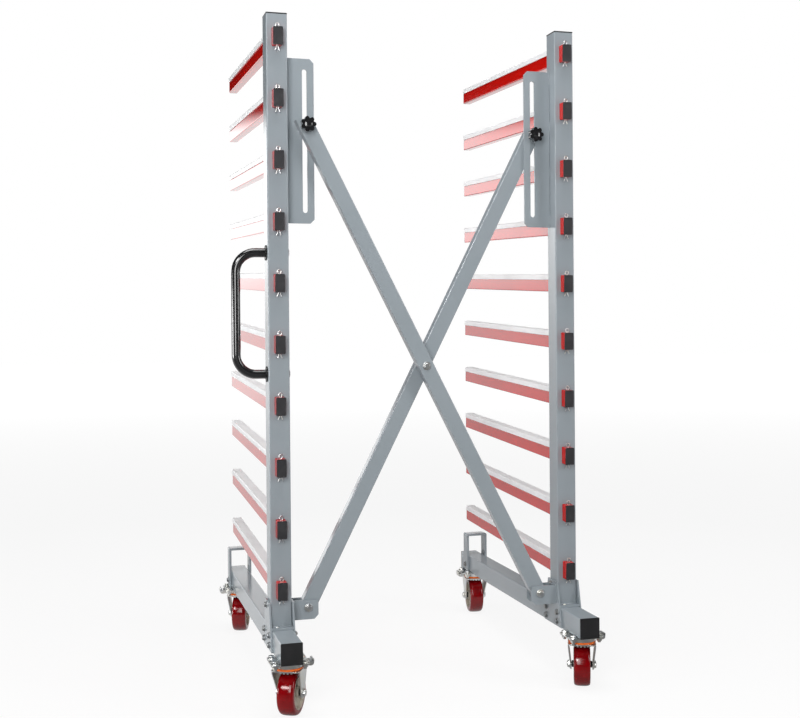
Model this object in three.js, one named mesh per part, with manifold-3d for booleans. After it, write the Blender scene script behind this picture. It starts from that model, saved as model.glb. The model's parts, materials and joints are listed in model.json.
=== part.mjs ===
// Sheet goods cart: two wheeled uprights with rising cantilever arms that carry panels flat,
// tied together by a scissor brace whose upper ends slide in slotted plates to set the width.
// Millimetres, +Z up, -Y is the front and +X is the right seen from the front.
import * as THREE from 'three';
import { mergeVertices } from 'three/addons/utils/BufferGeometryUtils.js';
import Module from 'manifold-3d';

const wasm = await Module();
wasm.setup();

// Clearances
const FIT = 0.3; // between pieces that seat on each other
const PIVOT_FIT = 0.4; // round a bolt or pin that turns
const SLOT_FIT = 0.8; // round a clamp stud in its slot
const EMBED = 1; // how far a welded piece runs into its neighbour
const WELD = 1e-4; // points closer than this are one point

// Square tubes of the two frames, and the plugs in their ends
const SPAN = 870; // between the centre lines of the uprights
const TUBE = 60;
const TUBE_WALL = 3;
const TUBE_CORNER = 5;
const TUBE_BORE_CORNER = 2;
const BASE_LENGTH = 1046;
const BASE_REACH = 154; // base tube in front of the upright
const UPRIGHT_LENGTH = 1717;
const PLUG_FLANGE = 3.5;
const PLUG_DEPTH = 14;

// Arms, pushed through windows in the uprights
const ARM_COUNT = 10;
const ARM_FIRST = 111; // lowest arm's middle above the base tube
const ARM_LAST = 64.6; // top arm's middle below the upright's top
const ARM_WIDTH = 28;
const ARM_HEIGHT = 51;
const ARM_WALL = 2;
const ARM_CORNER = 3;
const ARM_STUB = 24; // in front of the upright
const ARM_REACH = 816; // behind the upright
const ARM_RISE = THREE.MathUtils.degToRad(2.4);
const COVER = 2.5; // cover strip's thickness over the arm
const COVER_SKIRT = 14; // how far it comes down the arm's sides
const COVER_START = 2; // behind the upright

// Foot bracket that bolts each upright to its base tube
const SEAT = 6;
const SEAT_FRONT = 20; // in front of the upright
const CHEEK = 5;
const BRACKET_RISE = 75; // above the base tube
const BRACKET_DROP = 57; // below the base tube's top
const BRACKET_TOE = 35; // in front of the upright at the bottom
const BRACKET_NOSE = 4; // in front of the upright at the top
const BRACKET_HEEL = 32; // behind the upright at the bottom
const BRACKET_BACK = 4; // behind the upright at the top
const BRACKET_HEEL_EDGE = 9; // upright stretch of the heel's rear edge

// Scissor brace
const PIVOT_OFFSET = 56; // pivots and slots from the upright's inner face
const FOOT_PIVOT = 43; // lower pivots above the base tube
const KNOB_PIVOT = 307.6; // upper pivots below the uprights' tops
const BAR_WIDTH = 45;
const BAR_DEPTH = 30;
const BAR_WALL = 2.5;
const BAR_GAP = 2; // between a bar and the slot plates' faces
const BAR_END = 14; // beyond each end pivot, cut level
const BOLT_RADIUS = 6;
const BOLT_HEAD = 10.5;
const BOLT_HEAD_DEPTH = 8;
const SPACER_RADIUS = 12; // round the middle bolt, between the bars

// Lugs that hold the lower ends of the bars
const LUG_PLATE = 4.5;
const LUG_GAP = 1.5; // between a lug's cheek and the bar
const LUG_BELOW = 33;
const LUG_ABOVE = 22;
const LUG_BEYOND = 29; // past the pivot
const LUG_CHAMFER = 12;

// Slot plates on the inner faces of the uprights
const SLOT_SETBACK = 40; // behind the uprights' front faces
const SLOT_PLATE = 5;
const SLOT_BELOW = 275; // plate below the upper pivot
const SLOT_ABOVE = 195; // plate above the upper pivot
const SLOT_MARGIN = 30; // from the slot's ends to the plate's ends
const SLOT_BEYOND = 27; // plate past the slot's middle
const SLOT_CHAMFER = 12;

// Star knobs that clamp the bars in the slots
const KNOB_RADIUS = 22.5;
const KNOB_DIP = 4;
const KNOB_LOBES = 7;
const KNOB_DEPTH = 16;
const KNOB_HUB_RADIUS = 13;
const KNOB_HUB = 9; // left star knob, on its bar
const LONG_HUB = 19; // right star knob, on its slot plate

// Push handle on the left upright
const HANDLE_LOW = 714; // lower end above the base tube
const HANDLE_SPACING = 342;
const HANDLE_RADIUS = 13;
const HANDLE_REACH = 86; // from the upright's face to the grip's middle
const HANDLE_BEND = 62;
const HANDLE_FLANGE_RADIUS = 22;
const HANDLE_FLANGE = 4;

// Hoops over the rear ends of the base tubes
const HOOP_BAR = 8;
const HOOP_WIDTH = 40;
const HOOP_RISE = 80; // above the base tube
const HOOP_DROP = 54; // legs below the base tube's top
const HOOP_SETBACK = 48; // in front of the base tube's rear end
const HOOP_CORNER = 4;

// Casters
const CASTER_HEIGHT = 156;
const CASTER_SETBACK = 53; // front caster's axis behind the base tube's front end
const CASTER_REAR = 67; // rear caster's axis in front of the base tube's rear end
const CASTER_TRAIL = 24;
const PLATE_WIDTH = 106;
const PLATE_LENGTH = 90;
const PLATE_DEPTH = 4;
const PLATE_CORNER = 8;
const RACE_RADIUS = 40;
const RACE_DEPTH = 17.3;
const CROWN_DEPTH = 5;
const KINGPIN_RADIUS = 6;
const KINGPIN_HEAD = 12;
const KINGPIN_HEAD_DEPTH = 3;
const WHEEL_RADIUS = 62.5;
const WHEEL_WIDTH = 48;
const WHEEL_HUB = 5.7; // hub past each side of the tread
const WHEEL_HUB_RADIUS = 10;
const WHEEL_CORE_RADIUS = 47;
const WHEEL_DISH = 4; // core face behind the tread's side
const TREAD_FLAT = 22;
const TREAD_SHOULDER = 8;
const FORK_PLATE = 3.5;
const FORK_GAP = 0.5; // between a hub's end and its fork leg
const FORK_FRONT = 34; // crown in front of the swivel axis
const FORK_REAR = 40; // and behind it
const FORK_SHOULDER = 41; // half the crown's width
const FORK_LEAN = 49; // height over which the legs lean out to the crown
const FORK_EYE = 15;
const AXLE_RADIUS = 6;
const AXLE_NUT = 10;
const AXLE_NUT_DEPTH = 9;

// Swivel lock levers on the caster plates
const LEVER_PIN = 62; // pin from the caster's axis
const LEVER_PIN_DROP = 9; // pin below the plate's top
const LEVER_PIN_RADIUS = 3;
const LEVER_EYE = 7;
const LEVER_WIDTH = 26;
const LEVER_STRIP = 3.5;
const LEVER_REACH = 8;
const LEVER_RISE = 12;
const LEVER_TAIL = 18;
const LEVER_EAR = 4;
const LEVER_EAR_DROP = 13;

// Swivel of each caster as it stands, by frame and end
const CASTER_TURN = { left_front: -29, left_rear: -17, right_front: -24, right_rear: -8 };

// Counts of flat sides on round pieces
const ROD_SIDES = 12;
const WHEEL_SIDES = 24;
const CORNER_SIDES = 1; // in each half of a rounded corner
const HANDLE_STEPS = 24;
const KNOB_STEPS = 6; // on each lobe of a star knob
const HEX = 6;

// Places worked out from the sizes above
const BASE_BOTTOM = CASTER_HEIGHT + FIT;
const BASE_TOP = BASE_BOTTOM + TUBE;
const UPRIGHT_BOTTOM = BASE_TOP + SEAT + 2 * FIT;
const UPRIGHT_TOP = UPRIGHT_BOTTOM + UPRIGHT_LENGTH;
const ARM_PITCH = (UPRIGHT_TOP - ARM_LAST - BASE_TOP - ARM_FIRST) / (ARM_COUNT - 1);
const BASE_REAR = BASE_LENGTH - BASE_REACH;
const PIVOT_X = SPAN / 2 - TUBE / 2 - PIVOT_OFFSET;
const FOOT_Z = BASE_TOP + FOOT_PIVOT;
const KNOB_Z = UPRIGHT_TOP - KNOB_PIVOT;
const CROSS_Z = (FOOT_Z + KNOB_Z) / 2;
const BAR_LEAN = Math.atan2(2 * PIVOT_X, KNOB_Z - FOOT_Z);
const SLOT_REAR = SLOT_SETBACK + SLOT_PLATE;
const FRONT_BAR_REAR = SLOT_SETBACK - BAR_GAP;
const FRONT_BAR_FRONT = FRONT_BAR_REAR - BAR_DEPTH;
const REAR_BAR_FRONT = SLOT_REAR + BAR_GAP;
const REAR_BAR_REAR = REAR_BAR_FRONT + BAR_DEPTH;
const AXLE_HALF = WHEEL_WIDTH / 2 + WHEEL_HUB + FORK_GAP;
const CROWN_TOP = CASTER_HEIGHT - PLATE_DEPTH - RACE_DEPTH - PIVOT_FIT;
const CROWN_BOTTOM = CROWN_TOP - CROWN_DEPTH;
const SIDES = { left: -1, right: 1 };

// Finishes
const finish = (color, roughness, metalness) =>
  new THREE.MeshStandardMaterial({ color, roughness, metalness });
const GREY_PAINT = finish(0x9aa1a4, 0.4, 0.1);
const RED_PAINT = finish(0xbb0000, 0.35, 0.1);
const BLACK_PLASTIC = finish(0x28282b, 0.5, 0);
const ZINC = finish(0xb9bdbd, 0.35, 0.9);
const RED_TREAD = finish(0x86030a, 0.3, 0);

const cart = new THREE.Group();

// Solids and booleans
function toSolid(geometry) {
  const bare = geometry.clone();
  bare.deleteAttribute('normal');
  bare.deleteAttribute('uv');
  const merged = mergeVertices(bare, WELD);
  const vertProperties = new Float32Array(merged.attributes.position.array);
  const triVerts = new Uint32Array(merged.index.array);
  return new wasm.Manifold(new wasm.Mesh({ numProp: 3, vertProperties, triVerts }));
}

function toGeometry(solid) {
  const { vertProperties, triVerts } = solid.getMesh();
  const geometry = new THREE.BufferGeometry();
  geometry.setAttribute('position', new THREE.BufferAttribute(vertProperties, 3));
  geometry.setIndex(new THREE.BufferAttribute(triVerts, 1));
  return geometry;
}

function join(...geometries) {
  const solids = geometries.map(toSolid);
  return toGeometry(solids.reduce((whole, piece) => whole.add(piece)));
}

function cut(body, ...tools) {
  const solids = tools.map(toSolid);
  return toGeometry(solids.reduce((whole, tool) => whole.subtract(tool), toSolid(body)));
}

function overlap(first, second) {
  return toGeometry(toSolid(first).intersect(toSolid(second)));
}

function place(name, geometry, material, parent = cart) {
  geometry.computeVertexNormals();
  const mesh = new THREE.Mesh(geometry, material);
  mesh.name = name;
  parent.add(mesh);
  return mesh;
}

// Outlines, drawn about their middle
function roundedRect(width, height, radius) {
  const x = width / 2 - radius;
  const y = height / 2 - radius;
  const shape = new THREE.Shape();
  shape.absarc(x, y, radius, 0, Math.PI / 2);
  shape.absarc(-x, y, radius, Math.PI / 2, Math.PI);
  shape.absarc(-x, -y, radius, Math.PI, 1.5 * Math.PI);
  shape.absarc(x, -y, radius, 1.5 * Math.PI, 2 * Math.PI);
  shape.closePath();
  return shape;
}

function outline(points) {
  return new THREE.Shape(points.map(([x, y]) => new THREE.Vector2(x, y)));
}

function extrude(shape, depth, curveSegments = CORNER_SIDES) {
  return new THREE.ExtrudeGeometry(shape, { depth, bevelEnabled: false, curveSegments });
}

// Extrusions along each axis: an outline in Y and Z, in X and Z, or in X and Y
function alongX(shape, from, to) {
  const basis = new THREE.Matrix4().set(0, 0, 1, from, 1, 0, 0, 0, 0, 1, 0, 0, 0, 0, 0, 1);
  return extrude(shape, to - from).applyMatrix4(basis);
}

function alongY(shape, from, to) {
  return extrude(shape, to - from).rotateX(Math.PI / 2).translate(0, to, 0);
}

function alongZ(shape, from, to) {
  return extrude(shape, to - from).translate(0, 0, from);
}

function box(x, y, z) {
  const size = [x, y, z].map(([from, to]) => to - from);
  const middle = [x, y, z].map(([from, to]) => (from + to) / 2);
  return new THREE.BoxGeometry(...size).translate(...middle);
}

// Round or hexagonal rods along an axis
function rodX(radius, from, to, y = 0, z = 0, sides = ROD_SIDES) {
  const rod = new THREE.CylinderGeometry(radius, radius, to - from, sides).rotateZ(Math.PI / 2);
  return rod.translate((from + to) / 2, y, z);
}

function rodY(radius, from, to, x = 0, z = 0, sides = ROD_SIDES) {
  return new THREE.CylinderGeometry(radius, radius, to - from, sides).translate(x, (from + to) / 2, z);
}

function rodZ(radius, from, to, x = 0, y = 0, sides = ROD_SIDES) {
  const rod = new THREE.CylinderGeometry(radius, radius, to - from, sides).rotateX(Math.PI / 2);
  return rod.translate(x, y, (from + to) / 2);
}

// Radius of a hole's corners that leaves the given clearance at its flats
function holeRadius(radius, clearance) {
  return (radius + clearance) / Math.cos(Math.PI / ROD_SIDES);
}

// Square tube section, and the plug that closes its end
function tubeSection() {
  const section = roundedRect(TUBE, TUBE, TUBE_CORNER);
  const bore = TUBE - 2 * TUBE_WALL;
  section.holes.push(roundedRect(bore, bore, TUBE_BORE_CORNER));
  return section;
}

function plugGeometry() {
  const neck = TUBE - 2 * TUBE_WALL - 2 * FIT;
  const flange = alongZ(roundedRect(TUBE, TUBE, TUBE_CORNER), 0, PLUG_FLANGE);
  const plug = alongZ(roundedRect(neck, neck, TUBE_CORNER), -PLUG_DEPTH, EMBED);
  return join(flange, plug).translate(0, 0, FIT);
}

// Arms
function armHeight(index) {
  return BASE_TOP + ARM_FIRST + index * ARM_PITCH;
}

function armPrism(width, height, corner, from, to) {
  return alongY(roundedRect(width, height, corner), from, to);
}

function armGeometry() {
  const front = -(TUBE / 2 + ARM_STUB) / Math.cos(ARM_RISE);
  const rear = (TUBE / 2 + ARM_REACH) / Math.cos(ARM_RISE);
  const tube = armPrism(ARM_WIDTH, ARM_HEIGHT, ARM_CORNER, front, rear);
  const coverWidth = ARM_WIDTH + 2 * COVER;
  const coverHeight = COVER_SKIRT + COVER;
  const coverStart = TUBE / 2 / Math.cos(ARM_RISE) + ARM_HEIGHT * Math.sin(ARM_RISE) + COVER_START;
  const cover = armPrism(coverWidth, coverHeight, ARM_CORNER, coverStart, rear);
  cover.translate(0, 0, ARM_HEIGHT / 2 + COVER - coverHeight / 2);
  const bore = box(
    [-ARM_WIDTH / 2 + ARM_WALL, ARM_WIDTH / 2 - ARM_WALL],
    [front - EMBED, rear + EMBED],
    [-ARM_HEIGHT / 2 + ARM_WALL, ARM_HEIGHT / 2 - ARM_WALL],
  );
  return cut(join(tube, cover), bore);
}

function uprightGeometry() {
  const tube = alongZ(tubeSection(), UPRIGHT_BOTTOM, UPRIGHT_TOP).translate(0, TUBE / 2, 0);
  const windows = [];
  for (let index = 0; index < ARM_COUNT; index += 1) {
    const hole = armPrism(ARM_WIDTH + 2 * FIT, ARM_HEIGHT + 2 * FIT, ARM_CORNER + FIT, -TUBE, TUBE);
    windows.push(hole.rotateX(ARM_RISE).translate(0, TUBE / 2, armHeight(index)));
  }
  return cut(tube, ...windows);
}

// Foot bracket: two side plates and a seat, with a forked lug on the inner side.
// The lug's cheeks stand either side of its bar, which starts at barFront.
function footBracketGeometry(inward, barFront) {
  const inner = TUBE / 2 + FIT;
  const outer = inner + CHEEK;
  const side = outline([
    [-BRACKET_TOE, BASE_TOP - BRACKET_DROP],
    [TUBE + BRACKET_HEEL, BASE_TOP - BRACKET_DROP],
    [TUBE + BRACKET_HEEL, BASE_TOP - BRACKET_DROP + BRACKET_HEEL_EDGE],
    [TUBE + BRACKET_BACK, BASE_TOP + BRACKET_RISE],
    [-BRACKET_NOSE, BASE_TOP + BRACKET_RISE],
  ]);
  const seatBottom = BASE_TOP + FIT;
  const seat = box(
    [-outer + EMBED, outer - EMBED],
    [-SEAT_FRONT, TUBE + BRACKET_BACK],
    [seatBottom, seatBottom + SEAT],
  );
  const pivot = TUBE / 2 + PIVOT_OFFSET;
  const webFrom = barFront - LUG_GAP - LUG_PLATE;
  const webTo = barFront + BAR_DEPTH + LUG_GAP + LUG_PLATE;
  const low = FOOT_Z - LUG_BELOW;
  const high = FOOT_Z + LUG_ABOVE;
  const web = box([outer - EMBED, outer + LUG_PLATE], [webFrom, webTo], [low, high]);
  const tip = pivot + LUG_BEYOND;
  const cheek = outline([
    [outer - EMBED, low],
    [tip - LUG_CHAMFER, low],
    [tip, low + LUG_CHAMFER],
    [tip, high],
    [outer - EMBED, high],
  ]);
  const cheeks = [webFrom, webTo - LUG_PLATE].map((from) => alongY(cheek, from, from + LUG_PLATE));
  const bracket = join(alongX(side, -outer, -inner), alongX(side, inner, outer), seat, web, ...cheeks);
  const hole = rodY(holeRadius(BOLT_RADIUS, PIVOT_FIT), webFrom - EMBED, webTo + EMBED, pivot, FOOT_Z);
  const drilled = cut(bracket, hole);
  return inward > 0 ? drilled : mirrorX(drilled);
}

// Mirror image across the plane X = 0, with its faces kept pointing out
function mirrorX(geometry) {
  const mirrored = geometry.clone().scale(-1, 1, 1);
  const corners = mirrored.index.array;
  for (let first = 0; first < corners.length; first += 3) {
    const second = corners[first + 1];
    corners[first + 1] = corners[first + 2];
    corners[first + 2] = second;
  }
  return mirrored;
}

function slotPlateGeometry(inward) {
  const near = TUBE / 2 + FIT;
  const slotX = TUBE / 2 + PIVOT_OFFSET;
  const far = slotX + SLOT_BEYOND;
  const low = KNOB_Z - SLOT_BELOW;
  const high = KNOB_Z + SLOT_ABOVE;
  const plate = outline([
    [near, low],
    [far - SLOT_CHAMFER, low],
    [far, low + SLOT_CHAMFER],
    [far, high - SLOT_CHAMFER],
    [far - SLOT_CHAMFER, high],
    [near, high],
  ]);
  const half = BOLT_RADIUS + SLOT_FIT;
  const slot = new THREE.Path();
  slot.absarc(slotX, low + SLOT_MARGIN + half, half, Math.PI, 2 * Math.PI);
  slot.absarc(slotX, high - SLOT_MARGIN - half, half, 0, Math.PI);
  plate.holes.push(slot);
  const turned = extrude(plate, SLOT_PLATE, ROD_SIDES / 4).rotateX(Math.PI / 2).translate(0, SLOT_REAR, 0);
  const solid = toGeometry(toSolid(turned));
  return inward > 0 ? solid : mirrorX(solid);
}

function hoopGeometry() {
  const inner = TUBE / 2 + FIT;
  const outer = inner + HOOP_BAR;
  const low = BASE_TOP - HOOP_DROP;
  const high = BASE_TOP + HOOP_RISE;
  const arch = roundedRect(2 * outer, 2 * (high - low), HOOP_CORNER);
  const rear = BASE_REAR - HOOP_SETBACK;
  const body = alongY(arch, rear - HOOP_WIDTH, rear).translate(0, 0, low);
  const depth = [rear - HOOP_WIDTH - EMBED, rear + EMBED];
  const gap = box([-inner, inner], depth, [low - 2 * (high - low), high - HOOP_BAR]);
  const below = box([-2 * outer, 2 * outer], depth, [low - 2 * (high - low), low]);
  return cut(body, gap, below);
}

// One wheeled frame, without its casters
function addFrame(side) {
  const frame = new THREE.Group();
  const inward = -SIDES[side];
  frame.position.x = SIDES[side] * SPAN / 2;
  cart.add(frame);
  const barFront = side === 'left' ? REAR_BAR_FRONT : FRONT_BAR_FRONT;
  const baseMiddle = BASE_BOTTOM + TUBE / 2;

  place(`${side}_upright`, uprightGeometry(), GREY_PAINT, frame);
  const topPlug = place(`${side}_upright_cap`, plugGeometry(), BLACK_PLASTIC, frame);
  topPlug.position.set(0, TUBE / 2, UPRIGHT_TOP);

  const base = alongY(tubeSection(), -BASE_REACH, BASE_REAR).translate(0, 0, baseMiddle);
  place(`${side}_base_tube`, base, GREY_PAINT, frame);
  const frontPlug = place(`${side}_base_front_cap`, plugGeometry(), BLACK_PLASTIC, frame);
  frontPlug.position.set(0, -BASE_REACH, baseMiddle);
  frontPlug.rotation.x = Math.PI / 2;
  const rearPlug = place(`${side}_base_rear_cap`, plugGeometry(), BLACK_PLASTIC, frame);
  rearPlug.position.set(0, BASE_REAR, baseMiddle);
  rearPlug.rotation.x = -Math.PI / 2;

  place(`${side}_foot_bracket`, footBracketGeometry(inward, barFront), GREY_PAINT, frame);
  place(`${side}_slot_plate`, slotPlateGeometry(inward), GREY_PAINT, frame);
  place(`${side}_rear_hoop`, hoopGeometry(), GREY_PAINT, frame);

  for (let index = 0; index < ARM_COUNT; index += 1) {
    const level = String(index + 1).padStart(2, '0');
    const arm = place(`${side}_arm_${level}`, armGeometry(), RED_PAINT, frame);
    arm.position.set(0, TUBE / 2, armHeight(index));
    arm.rotation.x = ARM_RISE;
  }
}

// Push handle: a round tube in a U, with a washer at each end
function addHandle() {
  const face = -SPAN / 2 - TUBE / 2 - FIT;
  const grip = face - HANDLE_REACH;
  const low = BASE_TOP + HANDLE_LOW;
  const high = low + HANDLE_SPACING;
  const point = (x, z) => new THREE.Vector3(x, TUBE / 2, z);
  const path = new THREE.CurvePath();
  path.add(new THREE.LineCurve3(point(face, low), point(grip + HANDLE_BEND, low)));
  path.add(new THREE.QuadraticBezierCurve3(
    point(grip + HANDLE_BEND, low), point(grip, low), point(grip, low + HANDLE_BEND)));
  path.add(new THREE.LineCurve3(point(grip, low + HANDLE_BEND), point(grip, high - HANDLE_BEND)));
  path.add(new THREE.QuadraticBezierCurve3(
    point(grip, high - HANDLE_BEND), point(grip, high), point(grip + HANDLE_BEND, high)));
  path.add(new THREE.LineCurve3(point(grip + HANDLE_BEND, high), point(face, high)));
  const section = new THREE.Shape().absarc(0, 0, HANDLE_RADIUS, 0, 2 * Math.PI);
  const tube = new THREE.ExtrudeGeometry(section, {
    steps: HANDLE_STEPS, curveSegments: ROD_SIDES / 2, bevelEnabled: false, extrudePath: path,
  });
  const washer = (z) => rodX(HANDLE_FLANGE_RADIUS, face - HANDLE_FLANGE, face, TUBE / 2, z);
  place('push_handle', join(tube, washer(low), washer(high)), BLACK_PLASTIC);
}

// Brace bar from its foot pivot up to its knob pivot, with level ends; lean is +1 to the right
function addBar(name, lean, front) {
  const footX = -lean * PIVOT_X;
  const slope = Math.tan(BAR_LEAN) * lean;
  const section = (width, low, high) => {
    const half = width / 2 / Math.cos(BAR_LEAN);
    const middle = (z) => footX + slope * (z - FOOT_Z);
    return outline([
      [middle(low) - half, low],
      [middle(low) + half, low],
      [middle(high) + half, high],
      [middle(high) - half, high],
    ]);
  };
  const low = FOOT_Z - BAR_END;
  const high = KNOB_Z + BAR_END;
  const rear = front + BAR_DEPTH;
  const body = alongY(section(BAR_WIDTH, low, high), front, rear);
  const bore = alongY(
    section(BAR_WIDTH - 2 * BAR_WALL, low - EMBED, high + EMBED), front + BAR_WALL, rear - BAR_WALL);
  const hole = (x, z) => rodY(holeRadius(BOLT_RADIUS, PIVOT_FIT), front - EMBED, rear + EMBED, x, z);
  const holes = [hole(footX, FOOT_Z), hole(0, CROSS_Z), hole(-footX, KNOB_Z)];
  place(name, cut(body, bore, ...holes), GREY_PAINT);
}

// Bolt along Y with a hexagonal head in front and a nut behind what it clamps
function boltGeometry(front, rear, x, z) {
  const shank = rodY(BOLT_RADIUS, front - FIT - BOLT_HEAD_DEPTH, rear + FIT + BOLT_HEAD_DEPTH, x, z);
  const head = rodY(BOLT_HEAD, front - FIT - BOLT_HEAD_DEPTH, front - FIT, x, z, HEX);
  const nut = rodY(BOLT_HEAD, rear + FIT, rear + FIT + BOLT_HEAD_DEPTH, x, z, HEX);
  return join(shank, head, nut);
}

function addBolts() {
  const lug = LUG_GAP + LUG_PLATE;
  const leftBolt = boltGeometry(REAR_BAR_FRONT - lug, REAR_BAR_REAR + lug, -PIVOT_X, FOOT_Z);
  place('left_foot_bolt', leftBolt, ZINC);
  const rightBolt = boltGeometry(FRONT_BAR_FRONT - lug, FRONT_BAR_REAR + lug, PIVOT_X, FOOT_Z);
  place('right_foot_bolt', rightBolt, ZINC);
  const spacer = rodY(SPACER_RADIUS, FRONT_BAR_REAR + FIT, REAR_BAR_FRONT - FIT, 0, CROSS_Z);
  place('cross_bolt', join(boltGeometry(FRONT_BAR_FRONT, REAR_BAR_REAR, 0, CROSS_Z), spacer), ZINC);
}

// Star knob on a stud with a nut behind. Both stars stand in front of the front bar, and the
// hub reaches back from its star to the seat that it clamps.
function addKnob(name, x, seat, reach, rear) {
  const star = new THREE.Shape();
  const steps = KNOB_LOBES * KNOB_STEPS;
  for (let step = 0; step < steps; step += 1) {
    const turn = (2 * Math.PI * step) / steps;
    const radius = KNOB_RADIUS - (KNOB_DIP / 2) * (1 - Math.cos(KNOB_LOBES * turn));
    const spot = [radius * Math.cos(turn), radius * Math.sin(turn)];
    if (step === 0) star.moveTo(...spot);
    else star.lineTo(...spot);
  }
  const hubFront = seat - FIT - reach;
  const head = alongY(star, hubFront - KNOB_DEPTH, hubFront);
  const hub = rodY(KNOB_HUB_RADIUS, hubFront - EMBED, seat - FIT);
  const stud = rodY(BOLT_RADIUS, hubFront - EMBED, rear + FIT + BOLT_HEAD_DEPTH);
  const nut = rodY(BOLT_HEAD, rear + FIT, rear + FIT + BOLT_HEAD_DEPTH, 0, 0, HEX);
  place(name, join(head, hub, stud, nut), BLACK_PLASTIC).position.set(x, 0, KNOB_Z);
}

// Caster pieces, about the swivel axis with the floor at zero
function casterPlateGeometry() {
  const top = CASTER_HEIGHT;
  const under = top - PLATE_DEPTH;
  const plate = alongZ(roundedRect(PLATE_WIDTH, PLATE_LENGTH, PLATE_CORNER), under, top);
  const race = rodZ(RACE_RADIUS, under - RACE_DEPTH, under + EMBED, 0, 0, WHEEL_SIDES);
  const headTop = CROWN_BOTTOM - PIVOT_FIT;
  const kingpin = rodZ(KINGPIN_RADIUS, headTop - KINGPIN_HEAD_DEPTH, under);
  const head = rodZ(KINGPIN_HEAD, headTop - KINGPIN_HEAD_DEPTH, headTop);
  const pinZ = top - LEVER_PIN_DROP;
  const earFrom = LEVER_WIDTH / 2 + FIT;
  const earX = [PLATE_WIDTH / 2 - LEVER_EAR, LEVER_PIN + LEVER_PIN_RADIUS + EMBED];
  const earZ = [top - LEVER_EAR_DROP, under + EMBED];
  const ears = [
    box(earX, [earFrom, earFrom + LEVER_EAR], earZ),
    box(earX, [-earFrom - LEVER_EAR, -earFrom], earZ),
  ];
  const pinEnd = earFrom + EMBED;
  const pin = rodY(LEVER_PIN_RADIUS, -pinEnd, pinEnd, LEVER_PIN, pinZ);
  return join(plate, race, kingpin, head, ...ears, pin);
}

function leverGeometry() {
  const pinZ = CASTER_HEIGHT - LEVER_PIN_DROP;
  const half = LEVER_WIDTH / 2;
  const eye = rodY(LEVER_EYE, -half, half, LEVER_PIN, pinZ);
  const foot = LEVER_PIN + LEVER_EYE - EMBED;
  const pedal = alongY(outline([
    [LEVER_PIN, pinZ - LEVER_STRIP],
    [foot, pinZ - LEVER_STRIP],
    [LEVER_PIN + LEVER_REACH, pinZ + LEVER_RISE],
    [LEVER_PIN + LEVER_REACH - LEVER_STRIP, pinZ + LEVER_RISE + EMBED],
    [foot - LEVER_STRIP, pinZ + LEVER_STRIP],
    [LEVER_PIN, pinZ + LEVER_STRIP],
  ]), -half, half);
  const tailZ = [pinZ - LEVER_EYE, pinZ - LEVER_EYE + LEVER_STRIP];
  const tail = box([LEVER_PIN - LEVER_TAIL, LEVER_PIN], [-half / 2, half / 2], tailZ);
  const bore = rodY(holeRadius(LEVER_PIN_RADIUS, PIVOT_FIT), -half - EMBED, half + EMBED, LEVER_PIN, pinZ);
  return cut(join(eye, pedal, tail), bore);
}

// Fork: an arch seen from the front, trimmed to the outline of its legs seen from the side
function forkGeometry() {
  const outer = AXLE_HALF + FORK_PLATE;
  const shoulder = FORK_SHOULDER - FORK_PLATE;
  const bend = CROWN_BOTTOM - FORK_LEAN;
  const foot = WHEEL_RADIUS - FORK_EYE - EMBED;
  const arch = alongY(outline([
    [-outer, foot],
    [-AXLE_HALF, foot],
    [-AXLE_HALF, bend],
    [-shoulder, CROWN_BOTTOM],
    [shoulder, CROWN_BOTTOM],
    [AXLE_HALF, bend],
    [AXLE_HALF, foot],
    [outer, foot],
    [outer, bend],
    [FORK_SHOULDER, CROWN_BOTTOM],
    [FORK_SHOULDER, CROWN_TOP],
    [-FORK_SHOULDER, CROWN_TOP],
    [-FORK_SHOULDER, CROWN_BOTTOM],
    [-outer, bend],
  ]), -FORK_FRONT, FORK_REAR);
  const leg = new THREE.Shape();
  leg.moveTo(FORK_REAR, CROWN_TOP);
  leg.lineTo(-FORK_FRONT, CROWN_TOP);
  leg.lineTo(-FORK_FRONT, CROWN_BOTTOM);
  leg.absarc(CASTER_TRAIL, WHEEL_RADIUS, FORK_EYE, Math.PI, 2 * Math.PI);
  leg.lineTo(FORK_REAR, CROWN_BOTTOM);
  leg.closePath();
  const body = overlap(arch, alongX(leg, -FORK_SHOULDER, FORK_SHOULDER));
  const nutEnd = outer + AXLE_NUT_DEPTH;
  const axle = rodX(AXLE_RADIUS, -nutEnd, nutEnd, CASTER_TRAIL, WHEEL_RADIUS);
  const nuts = [
    rodX(AXLE_NUT, -nutEnd, -outer + EMBED, CASTER_TRAIL, WHEEL_RADIUS, HEX),
    rodX(AXLE_NUT, outer - EMBED, nutEnd, CASTER_TRAIL, WHEEL_RADIUS, HEX),
  ];
  const hole = rodZ(holeRadius(KINGPIN_RADIUS, PIVOT_FIT), CROWN_BOTTOM - EMBED, CROWN_TOP + EMBED);
  return cut(join(body, axle, ...nuts), hole);
}

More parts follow.
